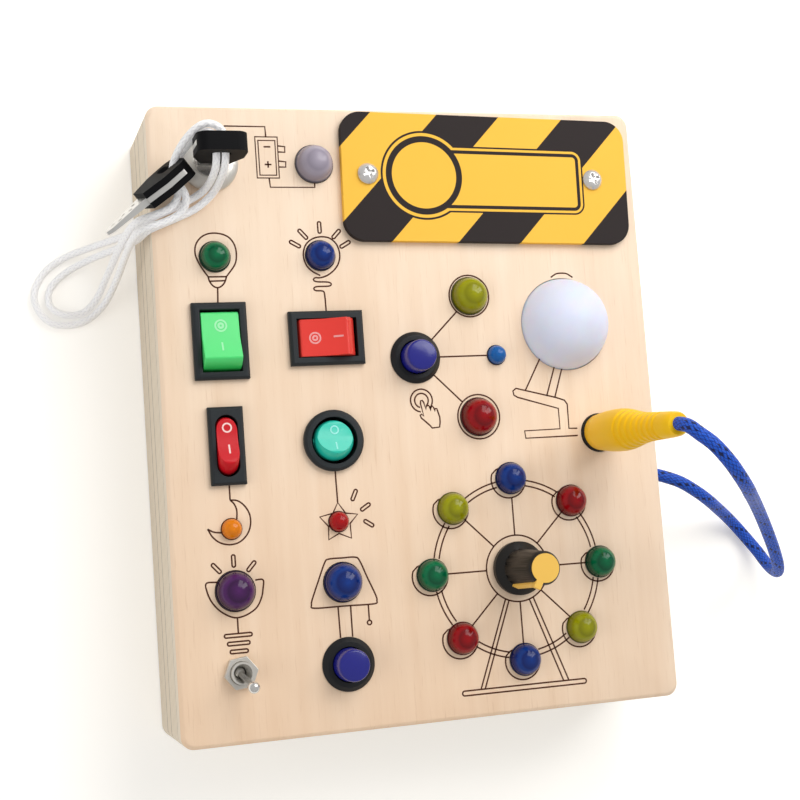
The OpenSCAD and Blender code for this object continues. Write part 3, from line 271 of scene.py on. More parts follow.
def turned(name, profile, centre, segments):  # a closed solid of revolution, mm profile
    vertices, rows = [], []
    for radius, height in profile:
        count = segments if radius > 0 else 1
        rows.append(list(range(len(vertices), len(vertices) + count)))
        for k in range(count):
            a = 2 * math.pi * k / segments
            spot = Vector((radius * math.cos(a), radius * math.sin(a), height))
            vertices.append(centre + spot * millimetre)
    faces = []
    for low, high in zip(rows, rows[1:]):
        for k in range(segments):
            after = (k + 1) % segments
            if len(low) == 1:
                faces.append((low[0], high[after], high[k]))
            elif len(high) == 1:
                faces.append((low[k], low[after], high[0]))
            else:
                faces.append((low[k], low[after], high[after], high[k]))
    return outward(meshObject(name, vertices, faces))


# camera, floor and light

cameraSet = {
    "place": (-0.127642, -0.035235, 0.415380),
    "turn": (0.98651917, 0.05277211, -0.15216636, -0.02899033),
    "lens": 64.855,
}
camera = newObject("camera", bpy.data.cameras.new("camera"))
camera.data.sensor_width = 36
camera.data.lens = cameraSet["lens"]
camera.location = cameraSet["place"]
camera.rotation_mode = "QUATERNION"
camera.rotation_quaternion = Quaternion(cameraSet["turn"])
bpy.context.scene.camera = camera

lightSet = {  # where each lamp stands, seen from the middle of the face, in metres
    "key_a": {"place": (0.20, 0.40, 0.44), "size": (0.25, 0.52), "power": 1.1, "colour": (1.0, 0.99, 0.98)},
    "key_b": {"place": (0.46, 0.27, 0.42), "size": (0.25, 0.52), "power": 1.5, "colour": (1.0, 0.99, 0.98)},
    "left": {"place": (-0.67, -0.11, 0.31), "size": (0.5, 0.5), "power": 1.3, "colour": (1.0, 1.0, 1.0)},
    "front": {"place": (-0.12, -0.60, 0.51), "size": (0.6, 0.4), "power": 0.45, "colour": (1.0, 0.98, 0.96)},
    "wash": {"place": (0.06, 0.24, 0.24), "size": (0.2, 0.2), "power": 0.29, "colour": (1.0, 0.99, 0.97)},
}
worldStrength = 0.46
for name, facts in lightSet.items():
    lamp = bpy.data.lights.new(name, "AREA")
    lamp.shape = "RECTANGLE"
    lamp.size, lamp.size_y = facts["size"]
    lamp.energy = facts["power"]
    lamp.color = facts["colour"]
    holder = newObject(name, lamp)
    toward = Vector(facts["place"])
    holder.location = toward + Vector((0, 0, faceZ))
    holder.rotation_euler = toward.to_track_quat("Z", "Y").to_euler()
    holder.visible_glossy = name.startswith("key")

world = bpy.data.worlds.new("studio")
bpy.context.scene.world = world
world.use_nodes = True
background = world.node_tree.nodes["Background"].inputs
background["Color"].default_value = (1.0, 1.0, 1.0, 1.0)
background["Strength"].default_value = worldStrength
bpy.context.scene.view_settings.view_transform = "Standard"

floorCorners = [(x, y, -0.0004) for x, y in ((-3, -3), (3, -3), (3, 3), (-3, 3))]
floor = meshObject("floor", floorCorners, [(0, 1, 2, 3)])
floorFinish = Finish("pale_floor", colour=paint(247, 244, 238), rough=0.9)
rays = floorFinish.node("ShaderNodeLightPath").socket.node.outputs
seen = sum((Signal(floorFinish, rays[n]) for n in ("Is Glossy Ray", "Is Transmission Ray")),
           Signal(floorFinish, rays["Is Camera Ray"])).of("MINIMUM", 1.0)
floorFinish.set(glow=1.0, glowColour=floorFinish.mix(seen, (0, 0, 0, 1), (0.3, 0.299, 0.294, 1)))
floor.data.materials.append(floorFinish.material)
print("camera, floor and light are set")


# cords

def along(points, step):  # a smooth curve through the points, resampled to even steps
    points = np.array(points, float)
    padded = np.vstack([2 * points[0] - points[1], points, 2 * points[-1] - points[-2]])
    fine = []
    for i in range(1, len(padded) - 2):
        p0, p1, p2, p3 = padded[i - 1:i + 3]
        for t in np.linspace(0, 1, 24, endpoint=False):
            fine.append(0.5 * (2 * p1 + (p2 - p0) * t + (2 * p0 - 5 * p1 + 4 * p2 - p3) * t * t
                               + (3 * p1 - p0 - 3 * p2 + p3) * t ** 3))
    fine.append(points[-1])
    fine = np.array(fine)
    gone = np.concatenate([[0], np.cumsum(np.linalg.norm(np.diff(fine, axis=0), axis=1))])
    count = max(2, int(round(gone[-1] / step)))
    even = np.linspace(0, gone[-1], count + 1)
    return np.array([np.interp(even, gone, fine[:, k]) for k in range(3)]).T


def roundTube(name, points, diameter, step, sides, swell=0.0, relax=0):
    # a closed tube, mapped around in turns and along in diameters
    route = along(points, step) * millimetre
    for turn in range(relax):  # takes the sharpest bends out
        route[1:-1] = (route[:-2] + 2 * route[1:-1] + route[2:]) / 4
    route[:, 2] = np.maximum(route[:, 2], diameter / 2 * millimetre)
    tangents = np.gradient(route, axis=0)
    tangents /= np.linalg.norm(tangents, axis=1)[:, None]
    side = np.cross(tangents[0], (0.3, 0.2, 0.9))
    side /= np.linalg.norm(side)
    vertices, turns, gone = [], [], 0.0
    radius = diameter / 2 * millimetre * (1 + swell)
    for i, (spot, tangent) in enumerate(zip(route, tangents)):
        side = side - tangent * side.dot(tangent)
        side /= np.linalg.norm(side)
        other = np.cross(tangent, side)
        if i:
            gone += float(np.linalg.norm(spot - route[i - 1]))
        turns.append(gone / (diameter * millimetre))
        for k in range(sides):
            a = 2 * math.pi * k / sides
            vertices.append(spot + radius * (math.cos(a) * side + math.sin(a) * other))
    faces = []
    for i in range(len(route) - 1):
        for k in range(sides):
            a, b = i * sides + k, i * sides + (k + 1) % sides
            faces.append((a, b, b + sides, a + sides))
    last = (len(route) - 1) * sides
    faces += [tuple(reversed(range(sides))), tuple(range(last, last + sides))]
    made = meshObject(name, vertices, faces)
    layer = made.data.uv_layers.new(name="UVMap")
    for polygon in made.data.polygons:
        for corner in polygon.loop_indices:
            level, k = divmod(made.data.loops[corner].vertex_index, sides)
            seam = any(v % sides == sides - 1 for v in polygon.vertices)
            closes = len(polygon.vertices) == 4 and k == 0 and seam
            layer.data[corner].uv = (1.0 if closes else k / sides, turns[level])
    smooth(made, 60)
    return made, [tuple(p) for p in route]


def braidFinish(name, facts, plies, pitch, rough, tracer=0.0, **more):
    finish = Finish(name, rough=rough, **more)
    where = finish.node("ShaderNodeTexCoord", output=2)
    around, length = finish.axes(where)[:2]
    turn, climb = around * float(plies), length * pitch
    ways = (turn + climb, turn - climb)
    right, left = ((way % 1.0 - 0.5).of("ABSOLUTE") * 2.0 for way in ways)
    strandOf = [way.of("FLOOR") for way in ways]
    over = (strandOf[0] + strandOf[1]) % 2.0
    strand = right * over + left * (1.0 - over)
    height = (1.0 - strand * strand)
    fibre = finish.noise(1.0, 3.0, finish.stretched(9.0 * plies, 16.0, 1.0, where))
    # painted shade: the strand edges and the gaps between strands take the darker shade colour
    tone = finish.mix((height * 1.5 - 0.3).held(), facts["shade"], facts["thread"])
    tone = finish.mix((fibre - 0.5).of("MULTIPLY", 0.5, clamp=True) * 2.0, tone, facts["fleck"])
    if tracer:  # every fifth strand one way is dark
        dark = (strandOf[0] % 5.0 < 0.5) * over
        tone = finish.mix(dark * tracer, tone, (0.002, 0.004, 0.026, 1.0))
    finish.set(colour=tone, normal=finish.bump(height + fibre * 0.25, 0.00018, 0.6))
    return finish


blueCord = {
    "points": [
        (53.8, -10.9, 80.6), (53.9, -11.2, 83.6), (54.2, -12.1, 87.2), (55.3, -14.4, 90.4),
        (58.1, -17.5, 92.3), (62.1, -21.9, 92), (66.6, -25.9, 89), (71.5, -28.7, 83.6),
        (76.6, -30.3, 76.4), (82.2, -31.3, 68), (87.8, -32.5, 59.7), (93.2, -34.4, 52.1),
        (98.6, -37.3, 45), (104, -41.4, 38.4), (109.5, -46.4, 31.8), (114.4, -51.1, 25.4),
        (118.1, -53.8, 19.1), (120.4, -53.9, 13.2), (121.3, -51.8, 7.9), (120.7, -47.8, 4),
        (118.1, -43.2, 2.1), (114.2, -38.9, 2.6), (109.3, -35.5, 5.6), (103.4, -33, 11.3),
        (97.4, -30.5, 17), (91.7, -27.5, 20), (85.9, -24.2, 20.5), (79.4, -21.6, 18.5),
        (75.3, -21, 17.5), (73.5, -21, 17.5)],
    "diameter": 3.4,
    "thread": paint(28, 88, 206), "shade": paint(12, 34, 112), "fleck": paint(84, 136, 224),
}
lanyardSet = {
    "eyes": [
        [(-56.8, 63.6, 42), (-56.7, 63.9, 48.2), (-56.7, 66.6, 52.4), (-56.7, 71, 52.9),
         (-57.4, 73.6, 52.4), (-59.8, 74.3, 49.3)],
        [(-54.4, 63.6, 42), (-54.3, 63.9, 48.2), (-54.3, 66.6, 52.4), (-54.3, 71.6, 53),
         (-55.1, 74.4, 53), (-58.4, 76, 52.7)]],
    "runs": [
        [(-56.8, 63.5, 41.4), (-57.8, 61.7, 38.6), (-61.6, 59.4, 36.4), (-66.4, 57.1, 36.1),
         (-71.8, 54.7, 36.1), (-73.4, 54.2, 34.2), (-74.4, 54.1, 27.6), (-75.4, 54.2, 20),
         (-79.4, 54.2, 11.6), (-85.4, 53.5, 4), (-92.6, 51.2, 1.1), (-98.8, 46.4, 1.1),
         (-101.4, 39.2, 1.1), (-97.2, 32.6, 1.1), (-89, 32.2, 1.1), (-82.6, 36.6, 2.2),
         (-79, 43, 8), (-77.8, 46.6, 16.8), (-77, 49.2, 26.4), (-76, 50.7, 34.2),
         (-73.4, 51.6, 38.6), (-68.6, 53, 38.8), (-64, 55.8, 39), (-63.3, 59.6, 41.2),
         (-66.2, 63.2, 42.8), (-66.9, 66.6, 43.4), (-65.2, 70.8, 46.2), (-62.8, 73.8, 49.6),
         (-60.6, 75.3, 52), (-58.8, 75.9, 52.6)],
        [(-54.4, 63.5, 41.4), (-55.2, 61.2, 38.6), (-59.6, 57.3, 36.4), (-65, 54.7, 36.1),
         (-71.7, 51.9, 36.1), (-73.2, 51.4, 34.4), (-74, 51.4, 28), (-75, 51.6, 20.4),
         (-79.6, 51.2, 11.8), (-85.8, 50, 4), (-92.2, 47, 1.1), (-96.8, 42.4, 1.1),
         (-97.2, 37.4, 1.1), (-93.2, 34.8, 1.1), (-88, 35.2, 1.1), (-84.2, 38.8, 2.2),
         (-81.4, 44.6, 8.2), (-79.5, 49, 17.4), (-78.2, 51.6, 26.4), (-76.2, 53.7, 34.6),
         (-72.4, 54.6, 38.5), (-67.4, 56.6, 38.8), (-65, 60, 39.6), (-66, 63, 40.5),
         (-66.4, 66.3, 41), (-64.6, 69.8, 43), (-62.4, 72.5, 46), (-60.1, 74, 49)]],
    "diameter": 2.0,
    "thread": paint(253, 252, 252), "shade": paint(226, 226, 229), "fleck": paint(244, 244, 246),
}

blueBraid = braidFinish("blue_braid", blueCord, 12, 1.8, 0.5, tracer=0.9, specular=0.3)
# painted light: the white cord is given a faint white glow, though it is no lamp
whiteBraid = braidFinish("white_braid", lanyardSet, 6, 1.0, 0.8, glow=0.1, glowColour=(1, 1, 1, 1),
                         sheen=0.15)

cord, cordPath = roundTube("blue_braided_cord", blueCord["points"], blueCord["diameter"], 0.6, 24,
                           swell=0.1)
cord.data.materials.append(blueBraid.material)
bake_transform(cord)
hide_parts("blue_cord")

eyeP, eyeQ = lanyardSet["eyes"]
runP, runQ = lanyardSet["runs"]
loopPoints = [(-56.7, 68.8, 52.75), *eyeP[3:], *runQ[-2:0:-1], *eyeQ[1:], *runP[-2:0:-1],
              *eyeP[1:3], (-56.7, 68.3, 52.7)]
lanyard, lanyardPath = roundTube("lanyard_cord", loopPoints, lanyardSet["diameter"], 0.5, 18, relax=12)
lanyard.data.materials.append(whiteBraid.material)
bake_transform(lanyard)
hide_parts("lanyard", "lanyard_eye")
print("cords are laid")


# wood

woodSet = {
    "face": (paint(247, 226, 203), paint(237, 211, 184), paint(208, 172, 136)),  # light, dark, pore
    "edge": (paint(233, 221, 202), paint(204, 187, 162)),
    "back": (paint(226, 198, 162), paint(206, 172, 134), paint(168, 128, 92)),
    "backEdge": (paint(214, 186, 150), paint(186, 150, 112)),
    "ply": 0.00115,
    "seams": (0.011, 0.018, 0.0295),  # where the layers of the frame meet
}


def veneerFinish(name, light, dark, pore, plyTone):
    finish = Finish(name, rough=0.5, specular=0.3)
    x, y, z = finish.axes()
    wander = finish.noise(9.0, 2.0) - 0.5
    bands = finish.noise(1.0, 4.0, finish.stretched(170, 9, 60), 0.6)
    mottle = finish.noise(26.0, 3.0, finish.stretched(1.6, 0.8, 1.0))
    pores = finish.noise(1.0, 2.0, finish.stretched(2600, 110, 700))
    level = ((bands * 0.65 + mottle * 0.35 + wander * 0.15 - 0.36) * 3.0).held()
    dots = ((pores - 0.62) * 6.0).held() * 0.35
    tone = finish.mix(dots, finish.mix(level, dark, light), pore)
    # painted shade: the sheet is painted a little deeper in tone toward its lower left, where the light
    # falls off
    low = (0.3 - y * 6.0 - x.of("MAXIMUM", 0.0) * 6.0).held()
    tone = finish.mix(low, tone, (0.97, 0.88, 0.79, 1.0), "MULTIPLY")
    # where the sheet is cut, its plies show
    up = finish.axes(finish.node("ShaderNodeTexCoord", output=1))[2].of("ABSOLUTE")
    finish.set(colour=finish.mix(up < 0.6, tone, plyColour(finish, z, *plyTone)),
               rough=0.44 + level * 0.1, normal=finish.bump(bands * 0.4 + pores * 0.6, 0.00005, 0.5))
    return finish


def plyColour(finish, z, light, dark):
    # long and cross plies in turn, with a fine glue line between them
    wobble = finish.noise(1.0, 2.0, finish.stretched(40, 40, 260)) - 0.5
    ply = (z + wobble * 0.00018) / woodSet["ply"]
    cross = ply.of("FLOOR") % 2.0
    fleck = finish.noise(1.0, 3.0, finish.stretched(300, 300, 2600))
    glue = ply.of("FRACT").between(0.0, 0.09)
    tone = finish.mix(cross * 0.75 + (fleck - 0.5) * 0.7, light, dark)
    return finish.mix(glue * 0.5, tone, dark)


def edgeFinish(name, light, dark):
    finish = Finish(name, rough=0.62, specular=0.3)
    z = finish.axes()[2]
    tone = plyColour(finish, z, light, dark)
    seams = sum((z.between(seam - 0.0003, seam + 0.0003, 0.0002) for seam in woodSet["seams"]), 0.0)
    tone = finish.mix(seams * 0.85, tone, paint(112, 92, 74))
    grain = finish.noise(1.0, 3.0, finish.stretched(500, 500, 3000))
    finish.set(colour=tone, normal=finish.bump(grain, 0.00008, 0.5))
    return finish


birch = veneerFinish("birch_face", *woodSet["face"], woodSet["edge"])
paleEdge = edgeFinish("ply_edge", *woodSet["edge"])
backBoard = veneerFinish("back_board", *woodSet["back"], woodSet["backEdge"])
dress("face_panel", birch, angle=25, name="face_board")
for layer in ("middle", "front", "back"):
    dress("frame_" + layer, paleEdge, angle=25, name=layer + "_ring")
dress("back_panel", backBoard, angle=25, name="back_board")
print("wood is done")


# plastics and metals

def dimmed(colour, share):
    return tuple(c * share for c in colour[:3]) + (1.0,)


def plasticFinish(name, colour, rough, vary=0.04, **more):
    finish = Finish(name, **more)
    grain = finish.noise(3500.0, 3.0)
    cloud = finish.noise(90.0, 2.0)
    deep = dimmed(colour, 1 - 3 * vary)
    finish.set(colour=finish.mix(cloud, deep, colour), rough=rough + (cloud - 0.5) * 0.12,
               normal=finish.bump(grain, 0.00002, 0.6))
    return finish


def metalFinish(name, colour, rough, brushed=(1, 1, 1), scratch=0.00001, metal=1.0):
    finish = Finish(name, metal=metal)
    lines = finish.noise(900.0, 4.0, finish.stretched(*brushed))
    cloud = finish.noise(140.0, 2.0)
    finish.set(colour=finish.mix(cloud, dimmed(colour, 0.8), colour), rough=rough + (lines - 0.5) * 0.2,
               normal=finish.bump(lines, scratch, 0.5))
    return finish


blackCase = plasticFinish("black_case", paint(36, 41, 44), 0.5, specular=0.35)
blackFitting = plasticFinish("black_fitting", paint(26, 27, 29), 0.4, specular=0.35)
greenPlastic = plasticFinish("green_cap", paint(82, 228, 124), 0.32, soft=0.08, softScale=0.001, coat=0.12,
                             coatRough=0.2)
redPlastic = plasticFinish("red_cap", paint(232, 58, 48), 0.32, coat=0.1, coatRough=0.2)
slimPlastic = plasticFinish("slim_red_cap", paint(206, 16, 30), 0.34, specular=0.25, coat=0.05,
                            coatRough=0.15)
tealPlastic = plasticFinish("teal_cap", paint(36, 206, 180), 0.26, coat=0.3, coatRough=0.12)
bluePlastic = plasticFinish("blue_cap", paint(26, 28, 130), 0.24, coat=0.3, coatRough=0.12)
keyPlastic = plasticFinish("key_plastic", paint(17, 17, 19), 0.62, specular=0.1)
knobPlastic = plasticFinish("knob_black", paint(22, 20, 18), 0.42, specular=0.4)
yellowMark = plasticFinish("yellow_mark", paint(247, 198, 92), 0.45, specular=0.3)
yellowPlug = plasticFinish("yellow_plug", paint(255, 202, 0), 0.38, specular=0.35, soft=0.1,
                           softScale=0.001)
chrome = metalFinish("chrome_fitting", paint(236, 234, 230), 0.2, metal=0.85)
satin = metalFinish("satin_fitting", paint(228, 224, 216), 0.34, metal=0.6)
steel = metalFinish("key_steel", paint(236, 234, 230), 0.34, (1, 6, 1), 0.000002, metal=0.85)
zinc = metalFinish("zinc_screw", paint(206, 204, 200), 0.28)
brass = metalFinish("brass_tag", paint(222, 184, 108), 0.3)
spring = metalFinish("spring_steel", paint(190, 190, 192), 0.3)
cellWrap = plasticFinish("cell_wrap", paint(60, 92, 70), 0.3)
boardGreen = plasticFinish("board_green", paint(28, 96, 58), 0.35)

insideFinishes = [
    (zinc, ("back_screws", "cover_screw")),
    (blackCase, ("battery_box", "battery_cover")),
    (cellWrap, ("batteries",)),
    (spring, ("battery_contacts",)),
    (brass, ("switch_terminals",)),
    (chrome, ("lock_nut", "pot_body", "pot_shaft", "plug_barrel", "board_screws")),
    (blackFitting, ("button_nuts", "jack_nut")),
    (boardGreen, ("circuit_boards",)),
]
for finish, nodes in insideFinishes:
    for node in nodes:
        holder = frame["nodes"][node]
        if not holder.material_slots:
            holder.data.materials.append(finish.material)
        for place in holder.material_slots:
            place.material = finish.material
print("inside parts have their finishes")

# rockers

# painted shade: the green cap's lower end, which slopes down, is painted a deeper green, as if turned away
# from the light
painted_shade_slope = (15.2 - greenPlastic.axes()[1] * 1000.0).of("MULTIPLY", 0.36, clamp=True)
tone = Signal(greenPlastic, greenPlastic.shader.inputs["Base Color"].links[0].from_socket)
greenPlastic.set(colour=greenPlastic.mix(painted_shade_slope, tone, paint(24, 190, 70)))
rockers = {"green_rocker": greenPlastic, "red_rocker": redPlastic, "slim_rocker": slimPlastic,
           "round_rocker": tealPlastic}
roundSet = {"centre": (-26, -7.4), "scale": 0.91, "from": (29, 31), "reach": 5.7}


def nearer(x, y, z, centre, scale, low, high):  # draws a piece in toward its axis above a height
    share = clip((z - low) / (high - low)) * (1 - scale)
    return *scaled(x, y, centre, 1 - share), z


def roundCap(x, y, z):  # a smaller cap, whose pins end inside it
    centre, reach = roundSet["centre"], roundSet["reach"]
    x, y, z = nearer(x, y, z, centre, roundSet["scale"], *roundSet["from"])
    return *scaled(x, y, centre, reach / max(reach, math.dist((x, y), centre))), z


for node in rockers:
    dress(node + "_case", blackCase, 0.35, 3, name=node + "_bezel")
for node, finish in rockers.items():
    shape = roundCap if node == "round_rocker" else None
    dress(node, finish, 0.22, angle=28, name=node + "_cap", shape=shape)


def trace(node):  # finds a cap's top under a point of the plan
    mesh = bpy.data.objects[node + "_cap"].data
    tree = BVHTree.FromPolygons([v.co for v in mesh.vertices], [p.vertices for p in mesh.polygons])

    def top(x, y):
        return tree.ray_cast(Vector((x, y, 0.2)), Vector((0, 0, -1)))[0].z
    return top


def strip(path, width, closed):  # a flat band along a plan path: vertex rows left and right
    path = np.array(path, float)
    if closed:
        before, after = np.roll(path, 1, 0), np.roll(path, -1, 0)
    else:
        before, after = np.vstack([path[:1], path[:-1]]), np.vstack([path[1:], path[-1:]])
    heading = after - before
    heading /= np.linalg.norm(heading, axis=1)[:, None]
    side = np.stack([-heading[:, 1], heading[:, 0]], 1) * width / 2
    return path + side, path - side


markSet = {"lift": 0.05, "sink": -0.15}


def mark(node, finish, shapes):  # raised marks that lie on a sloping top
    top = trace(node)
    vertices, faces = [], []
    for path, width, closed in shapes:
        left, right = strip(path, width, closed)
        start, count = len(vertices), len(left)
        for level in markSet.values():
            for side in (left, right):
                for x, y in side:
                    spot = top(x * millimetre, y * millimetre) + level * millimetre
                    vertices.append((x * millimetre, y * millimetre, spot))
        upL, upR, lowL, lowR = (start + count * k for k in range(4))
        for k in range(count if closed else count - 1):
            n = (k + 1) % count
            faces += [(upL + k, upL + n, upR + n, upR + k), (lowL + k, lowR + k, lowR + n, lowL + n),
                      (upL + k, lowL + k, lowL + n, upL + n), (upR + k, upR + n, lowR + n, lowR + k)]
        if not closed:
            far = count - 1
            faces += [(upL, upR, lowR, lowL), (upL + far, lowL + far, lowR + far, upR + far)]
    made = smooth(outward(meshObject(node + "_marks", vertices, faces)), 40)
    return finishPiece(made, finish, bodyOf[node])


def circle(x, y, radius, start=0, end=360, steps=40):
    turn = [math.radians(start + (end - start) * k / steps) for k in range(steps + (end - start < 360))]
    return [(x + radius * math.cos(a), y + radius * math.sin(a)) for a in turn]


def bar(x0, y0, x1, y1, steps=8):
    return [(x0 + (x1 - x0) * k / steps, y0 + (y1 - y0) * k / steps) for k in range(steps + 1)]


rockerMarks = {  # colour, then each mark's path, width and whether it closes
    "green_rocker": ("mark_green", paint(164, 240, 182), [
        (circle(-55.4, 24.9, 1.5), 0.45, True), (circle(-55.4, 24.9, 0.6), 0.6, True),
        (bar(-55.5, 20.2, -55.5, 17.9), 0.45, False)]),
    "red_rocker": ("mark_pink", paint(236, 160, 158), [
        (circle(-29.6, 20.8, 1.45), 0.45, True), (circle(-29.6, 20.8, 0.6), 0.5, True),
        (bar(-24.7, 20.9, -22.2, 20.9), 0.5, False)]),
    "slim_rocker": ("mark_white", paint(248, 214, 210), [
        (circle(-55.4, -2.6, 1.15), 0.42, True), (bar(-55.3, -7.2, -55.3, -9.6), 0.45, False)]),
    "round_rocker": ("mark_teal", paint(160, 240, 230), [
        (circle(-26, -4.6, 1.05), 0.38, True), (bar(-26, -8.0, -26, -10.0), 0.4, False)]),
}
for node, (name, colour, shapes) in rockerMarks.items():
    mark(node, plasticFinish(name, colour, 0.5), shapes)
print("rockers are done")

# toggle, buttons, lock and keys

leverSet = {"pivot": Vector((-55.5, -67.3, 33)), "axis": Vector((0.0827, -0.2273, 0.9703)), "from": 4.0,
            "longer": 0.34, "fuller": 0.045}


def leverShape(x, y, z):  # the bat of the lever grows longer and a little fuller toward its end
    spot = Vector((x, y, z)) - leverSet["pivot"]
    reach = spot.dot(leverSet["axis"])
    beyond = max(0.0, reach - leverSet["from"])
    aside = spot - leverSet["axis"] * reach
    return (leverSet["pivot"] + leverSet["axis"] * (reach + beyond * leverSet["longer"])
            + aside * (1 + beyond * leverSet["fuller"]))


dress("toggle_body", satin, 0.08, name="toggle_bushing")
dress("toggle_nut", satin, 0.2, name="toggle_hex_nut")
dress("toggle_lever", chrome, angle=40, name="toggle_bat", shape=leverShape)
for button, centre in (("lamp_button", (-26, -67.9)), ("touch_button", (-0.6, 14.7))):
    dress(button + "_body", blackFitting, 0.25, 3, name=button + "_bezel")
    dress(button + "_cap", bluePlastic, 0.25, 3, name=button + "_plunger",
          shape=lambda x, y, z, c=centre: nearer(x, y, z, c, 0.92, 36, 37))
    low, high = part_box(button + "_spring")
    coil = dress(button + "_spring", spring, angle=40, name=button + "_coil")
    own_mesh(coil)
dress("lock_body", satin, 0.2, 3, name="lock_ring")
dress("lock_plug", chrome, 0.12, name="lock_cylinder")
spareSet = {"end": Vector((-63.6, 67.3, 42.12)), "axis": Vector((-0.7547, -0.6561, 0)), "turn": 13.0,
            "head": 14.0, "longer": 1.05, "blade": 0.88, "taper": 0.5}


def spareShape(x, y, z):  # turned about its length to stand on its edge, with a longer head
    spot = Vector((x, y, z)) - spareSet["end"]
    reach = spot.dot(spareSet["axis"])
    aside = spot - spareSet["axis"] * reach
    aside = Quaternion(spareSet["axis"], math.radians(spareSet["turn"])) @ aside
    beyond = max(0.0, reach - spareSet["head"])
    aside *= 1 - spareSet["taper"] * beyond / 15
    reach += (min(max(reach, 0.0), spareSet["head"]) * (spareSet["longer"] - 1)
              - beyond * (1 - spareSet["blade"]))
    return spareSet["end"] + spareSet["axis"] * reach + aside


keyShapes = {"main_key": None, "spare_key": spareShape}
for key, shape in keyShapes.items():
    dress(key + "_head", keyPlastic, 0.9, 4, name=key + "_grip", shape=shape)
for key, shape in keyShapes.items():
    dress(key + "_blade", steel, 0.12, name=key + "_steel", shape=shape)
print("toggle, buttons and keys are done")

# knob, jack and plug

knobSet = {"centre": (25, -46), "turn": math.radians(-28.6), "from": 4.0, "taller": 16 / 13,
           "waist": 0.9, "mark": 1.1}
plugSet = {
    "centre": (53.7, -9), "lean": 0.045, "flange": 0.75,
    "profile": [(1.0, 4.9), (1.4, 5.2), (5, 5.55), (9, 5.9), (12, 6.0), (16, 6.0), (19, 5.8),
                (22, 5.35), (25, 4.8), (28, 4.35), (31, 4.05), (35, 3.85), (39, 3.7), (44, 3.5),
                (47.2, 3.25), (47.8, 2.9)],
    "ribs": (20, 42, 2.75, 0.45),
}


def knobShape(x, y, z):  # turned to its mark, taller and narrower above the skirt
    centreX, centreY = knobSet["centre"]
    cosine, sine = math.cos(knobSet["turn"]), math.sin(knobSet["turn"])
    x, y, up = x - centreX, y - centreY, z - 35
    x, y = x * cosine - y * sine, x * sine + y * cosine
    share = clip((up - 2.2) / 1.8) * (1 - knobSet["waist"])
    if math.hypot(x, y) > 3.3:
        x, y = x * (1 - share), y * (1 - share)
    beyond = max(0.0, up - knobSet["from"])
    return centreX + x, centreY + y, z + beyond * (knobSet["taller"] - 1)


def pointerShape(x, y, z):
    return knobShape(*scaled(x, y, knobSet["centre"], knobSet["mark"]), z)


def flangeShape(x, y, z):  # narrower and half as high above the face
    outside = math.dist((x, y), plugSet["centre"]) > 4
    small = 1 - clip((z - 34.8) / 0.2) * (1 - plugSet["flange"]) if outside else 1
    return *scaled(x, y, plugSet["centre"], small), min(z, 35 + (z - 35) * 0.5)


def plugShape():
    heights, radii = zip(*plugSet["profile"])
    first, last, pitch, depth = plugSet["ribs"]
    stops = set(heights)
    for k in range(int((last - first) / pitch)):
        stops |= {first + pitch * (k + part) for part in (0, 0.12, 0.4, 0.52)}
    rows = [(0, heights[0])]
    for height in sorted(stops):
        part = ((height - first) / pitch) % 1.0
        groove = depth if first < height < last and 0.1 < part < 0.42 else 0.0
        rows.append((float(np.interp(height, heights, radii)) - groove, height))
    rows.append((0, heights[-1]))
    centre = Vector((*plugSet["centre"], 35)) * millimetre
    made = turned("plug_grip", rows, centre, 64)
    for vertex in made.data.vertices:
        vertex.co.y -= max(0.0, vertex.co.z - 0.0368) * plugSet["lean"]
    return smooth(made, 38)


dress("pot_nut", chrome, 0.2, name="knob_nut")
dress("knob", knobPlastic, 0.12, name="knob_grip", shape=knobShape)
dress("knob_cap", yellowMark, 0.12, name="knob_pointer", shape=pointerShape)
dress("jack_body", blackFitting, 0.15, name="jack_flange", shape=flangeShape)
finishPiece(plugShape(), yellowPlug, "plug", ["plug_body"])
dress("cord_grommet", blackFitting, 0.3, 3, name="cord_bushing")
print("knob, jack and plug are done")

# sign

signSet = {"centre": (25, 65.5), "turn": -1.2, "yellow": paint(243, 190, 72), "black": paint(40, 33, 33)}


def signFinish():
    finish = Finish("sign_yellow", specular=0.25)
    centreX, centreY = signSet["centre"]
    x, y = finish.axes(finish.node("ShaderNodeMapping", {"vector_type": "TEXTURE"}, {
        "Vector": finish.place, "Location": (centreX * millimetre, centreY * millimetre, 0.0),
        "Rotation": (0.0, 0.0, math.radians(signSet["turn"])), "Scale": (millimetre,) * 3}))[:2]
    soft = 0.08
    # stripes that lean to the right
    lean = (x - y * 0.92) + 31.8
    stripes = (lean % 38.7).between(0.0, 19.0, soft)
    # a ring joined to a long rounded panel, both bare
    ringX, ringY = x + 19.5, y - 0.6
    reach = (ringX * ringX + ringY * ringY).of("SQRT")
    panelX = ((x - 6.2).of("ABSOLUTE") - 20.2).of("MAXIMUM", 0.0)
    panelY = ((y + 0.3).of("ABSOLUTE") - 6.4).of("MAXIMUM", 0.0)
    panel = (panelX * panelX + panelY * panelY).of("SQRT")
    inBadge = (reach.between(-1, 12.9, soft)).of("MAXIMUM", panel.between(-1, 3.3, soft))
    ink = stripes * (1.0 - inBadge)
    thin = inBadge - reach.between(-1, 12.3, soft).of("MAXIMUM", panel.between(-1, 2.8, soft))
    thick = reach.between(9.6, 11.4, soft)
    inner = panel.between(1.1, 2.1, soft) * (1.0 - reach.between(-1, 10.5, soft))
    ink = (ink + thin + thick + inner).of("MINIMUM", 1.0)
    wear = finish.noise(60.0, 3.0)
    yellow = finish.mix(wear * 0.25, signSet["yellow"], paint(238, 180, 58))
    black = finish.mix(wear * 0.3, signSet["black"], paint(52, 45, 43))
    grain = finish.noise(2500.0, 2.0)
    finish.set(colour=finish.mix(ink, yellow, black), rough=0.66 + wear * 0.08,
               normal=finish.bump(grain + ink * 0.6, 0.00002, 0.5))
    return finish


